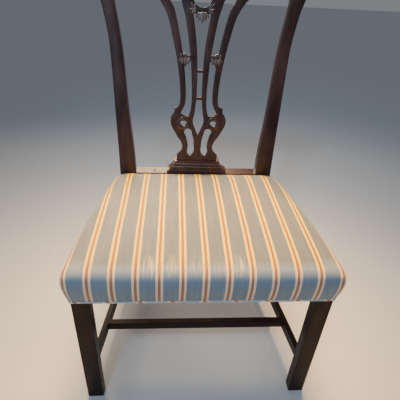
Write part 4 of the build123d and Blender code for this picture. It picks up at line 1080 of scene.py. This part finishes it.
def leafLobe(across, up, length, width, turn, height):
    deselect()
    segments, ringCount = leaves["cells"]
    bpy.ops.mesh.primitive_uv_sphere_add(segments=segments, ring_count=ringCount, radius=1)
    lobe = bpy.context.object
    for vert in lobe.data.vertices:
        x, y, z = vert.co
        taper = 1 - leaves["taper"] * max(0, y) ** leaves["taperPower"]
        groove = hump(x, *leaves["groove"]) if z > 0 else 0
        flute = leaves["flute"] * math.cos(leaves["flutes"] * x) if z > 0 else 0
        level = z * (1 - groove) + flute * (1 - abs(y)) + leaves["curl"] * y * y
        vert.co = (x * taper * width / 2, y * length / 2, level * height / 2)
    angle = math.radians(turn)
    shift = Vector((-math.sin(angle), math.cos(angle), 0)) * length * leaves["rootShare"]
    place = Matrix.Translation(Vector((across, up, 0)) + shift) @ Matrix.Rotation(angle, 4, "Z")
    lobe.data.transform(Matrix.Scale(0.001, 4) @ place)
    return lobe


def carvedLeaf(name, lobes, hand):
    made = [leafLobe(hand * a, u, n, w, hand * t, h) for a, u, n, w, t, h in lobes]
    deselect()
    for lobe in made:
        lobe.select_set(True)
    bpy.context.view_layer.objects.active = made[0]
    bpy.ops.object.join()
    leaf = bpy.context.object
    leaf.name = name
    skin = leaf.modifiers.new("skin", "REMESH")
    skin.mode = "VOXEL"
    skin.voxel_size = leaves["voxel"] / 1000
    ease = leaf.modifiers.new("ease", "SMOOTH")
    ease.factor, ease.iterations = leaves["ease"], leaves["easeSteps"]
    applyModifiers(leaf)
    leaf.data.transform(backPlane @ Matrix.Translation((0, 0, -(splat["setback"] + leaves["sink"]) / 1000)))
    smoothAll(leaf)
    settle(leaf, leafPaintedHighlightWood, "mahogany")


carvedLeaf("ribLeafRight", leaves["rib"], 1)
carvedLeaf("ribLeafLeft", leaves["rib"], -1)
carvedLeaf("pendantLeaf", leaves["pendant"], 1)
carvedLeaf("sprayRight", leaves["spray"], 1)
carvedLeaf("sprayLeft", leaves["spray"], -1)
print("leaves carved")

# low rounded bosses round the eyes of the scrolls, drawn from a plain ring
scroll = {
    "across": 41.2, "up": 134.5, "eye": (9.0, 7.5), "boss": 18.4, "height": 1.9, "sink": 0.3,
    "ring": 0.014, "tube": 0.004, "ringCells": (72, 24),
}


def makeBoss(hand, side):
    deselect()
    ring, tube = scroll["ring"], scroll["tube"]
    bpy.ops.mesh.primitive_torus_add(
        major_radius=ring, minor_radius=tube,
        major_segments=scroll["ringCells"][0], minor_segments=scroll["ringCells"][1],
    )
    boss = bpy.context.object
    boss.name = "scrollRing" + side
    for vert in boss.data.vertices:
        x, y, z = vert.co
        turn = math.atan2(y, x)
        eye = 1 / math.hypot(math.cos(turn) / scroll["eye"][0], math.sin(turn) / scroll["eye"][1])
        share = (math.hypot(x, y) - ring) / tube
        reach = (scroll["boss"] + eye) / 2 + (scroll["boss"] - eye) / 2 * share
        vert.co = Vector((reach * math.cos(turn), reach * math.sin(turn), z / tube * scroll["height"])) / 1000
    place = Vector((hand * scroll["across"], scroll["up"], -splat["setback"] - scroll["sink"])) / 1000
    boss.data.transform(backPlane @ Matrix.Translation(place))
    smoothAll(boss)
    settle(boss, woodCarved, "mahogany")


makeBoss(-1, "Left")
makeBoss(1, "Right")
print("bosses made")

# black cotton tacked under the rails, with notches at the legs and posts
dust = {
    "front": 6.0, "rear": 458.0, "inset": 6.0, "legIn": 238.5, "legBack": 39.0, "postIn": 175.0,
    "postFront": 430.0, "top": 347.9, "thick": 0.6, "cutsAcross": (-250, 250, 41), "cutsBack": (18, 448, 35),
    # the sag, where it starts from the sides, front and rear, and its run
    "sag": 3.0, "fromSides": 24, "fromFront": 30, "fromRear": 410, "sagRun": 120,
    "ripple": 0.35, "rippleAcross": (0.045, 0.02), "rippleBack": (0.038, 0.6),
}


def makeDustCloth():
    legBack, postFront = dust["legBack"], dust["postFront"]
    half = [
        (dust["legIn"], dust["front"]), (dust["legIn"], legBack),
        (railHalf(legBack, -dust["inset"]), legBack), (railHalf(postFront, -dust["inset"]), postFront),
        (dust["postIn"], postFront), (dust["postIn"], dust["rear"]),
    ]
    outline = half + [(-x, y) for x, y in reversed(half)]
    corners = [tuple(toPart(Vector((x, y, dust["top"])))) for x, y in outline]
    mesh = bpy.data.meshes.new("dustCloth")
    mesh.from_pydata(corners, [], [tuple(range(len(corners)))])
    sheet = bpy.data.objects.new("dustCloth", mesh)
    bpy.context.scene.collection.objects.link(sheet)
    makeActive(sheet)
    setMode("EDIT")
    cuts = [((x / 1000, 0, 0), (1, 0, 0)) for x in np.linspace(*dust["cutsAcross"])]
    cuts += [((0, legFront + y / 1000, 0), (0, 1, 0)) for y in np.linspace(*dust["cutsBack"])]
    for place, way in cuts:
        bpy.ops.mesh.select_all(action="SELECT")
        bpy.ops.mesh.bisect(plane_co=place, plane_no=way)
    setMode("OBJECT")
    (paceX, paceY), (paceBack, start) = dust["rippleAcross"], dust["rippleBack"]
    for vert in mesh.vertices:
        x, y = vert.co.x * 1000, (vert.co.y - legFront) * 1000
        fromSide = railHalf(y, -dust["inset"]) - abs(x) - dust["fromSides"]
        nearest = min(fromSide, y - dust["fromFront"], dust["fromRear"] - y)
        inward = max(0, min(1, nearest / dust["sagRun"]))
        ripple = dust["ripple"] * math.sin(paceX * x + paceY * y) * math.sin(paceBack * y + start)
        vert.co.z -= (dust["sag"] * inward * (2 - inward) + inward * ripple) / 1000
    thick = sheet.modifiers.new("cloth", "SOLIDIFY")
    thick.thickness = dust["thick"] / 1000
    thick.offset = 1
    applyModifiers(sheet)
    turnOutward(sheet)
    smoothByAngle(sheet)
    return sheet


dustCloth = makeDustCloth()
settle(dustCloth, dustCotton, "dust_cloth", "dust_cover")
print("dust cloth made")
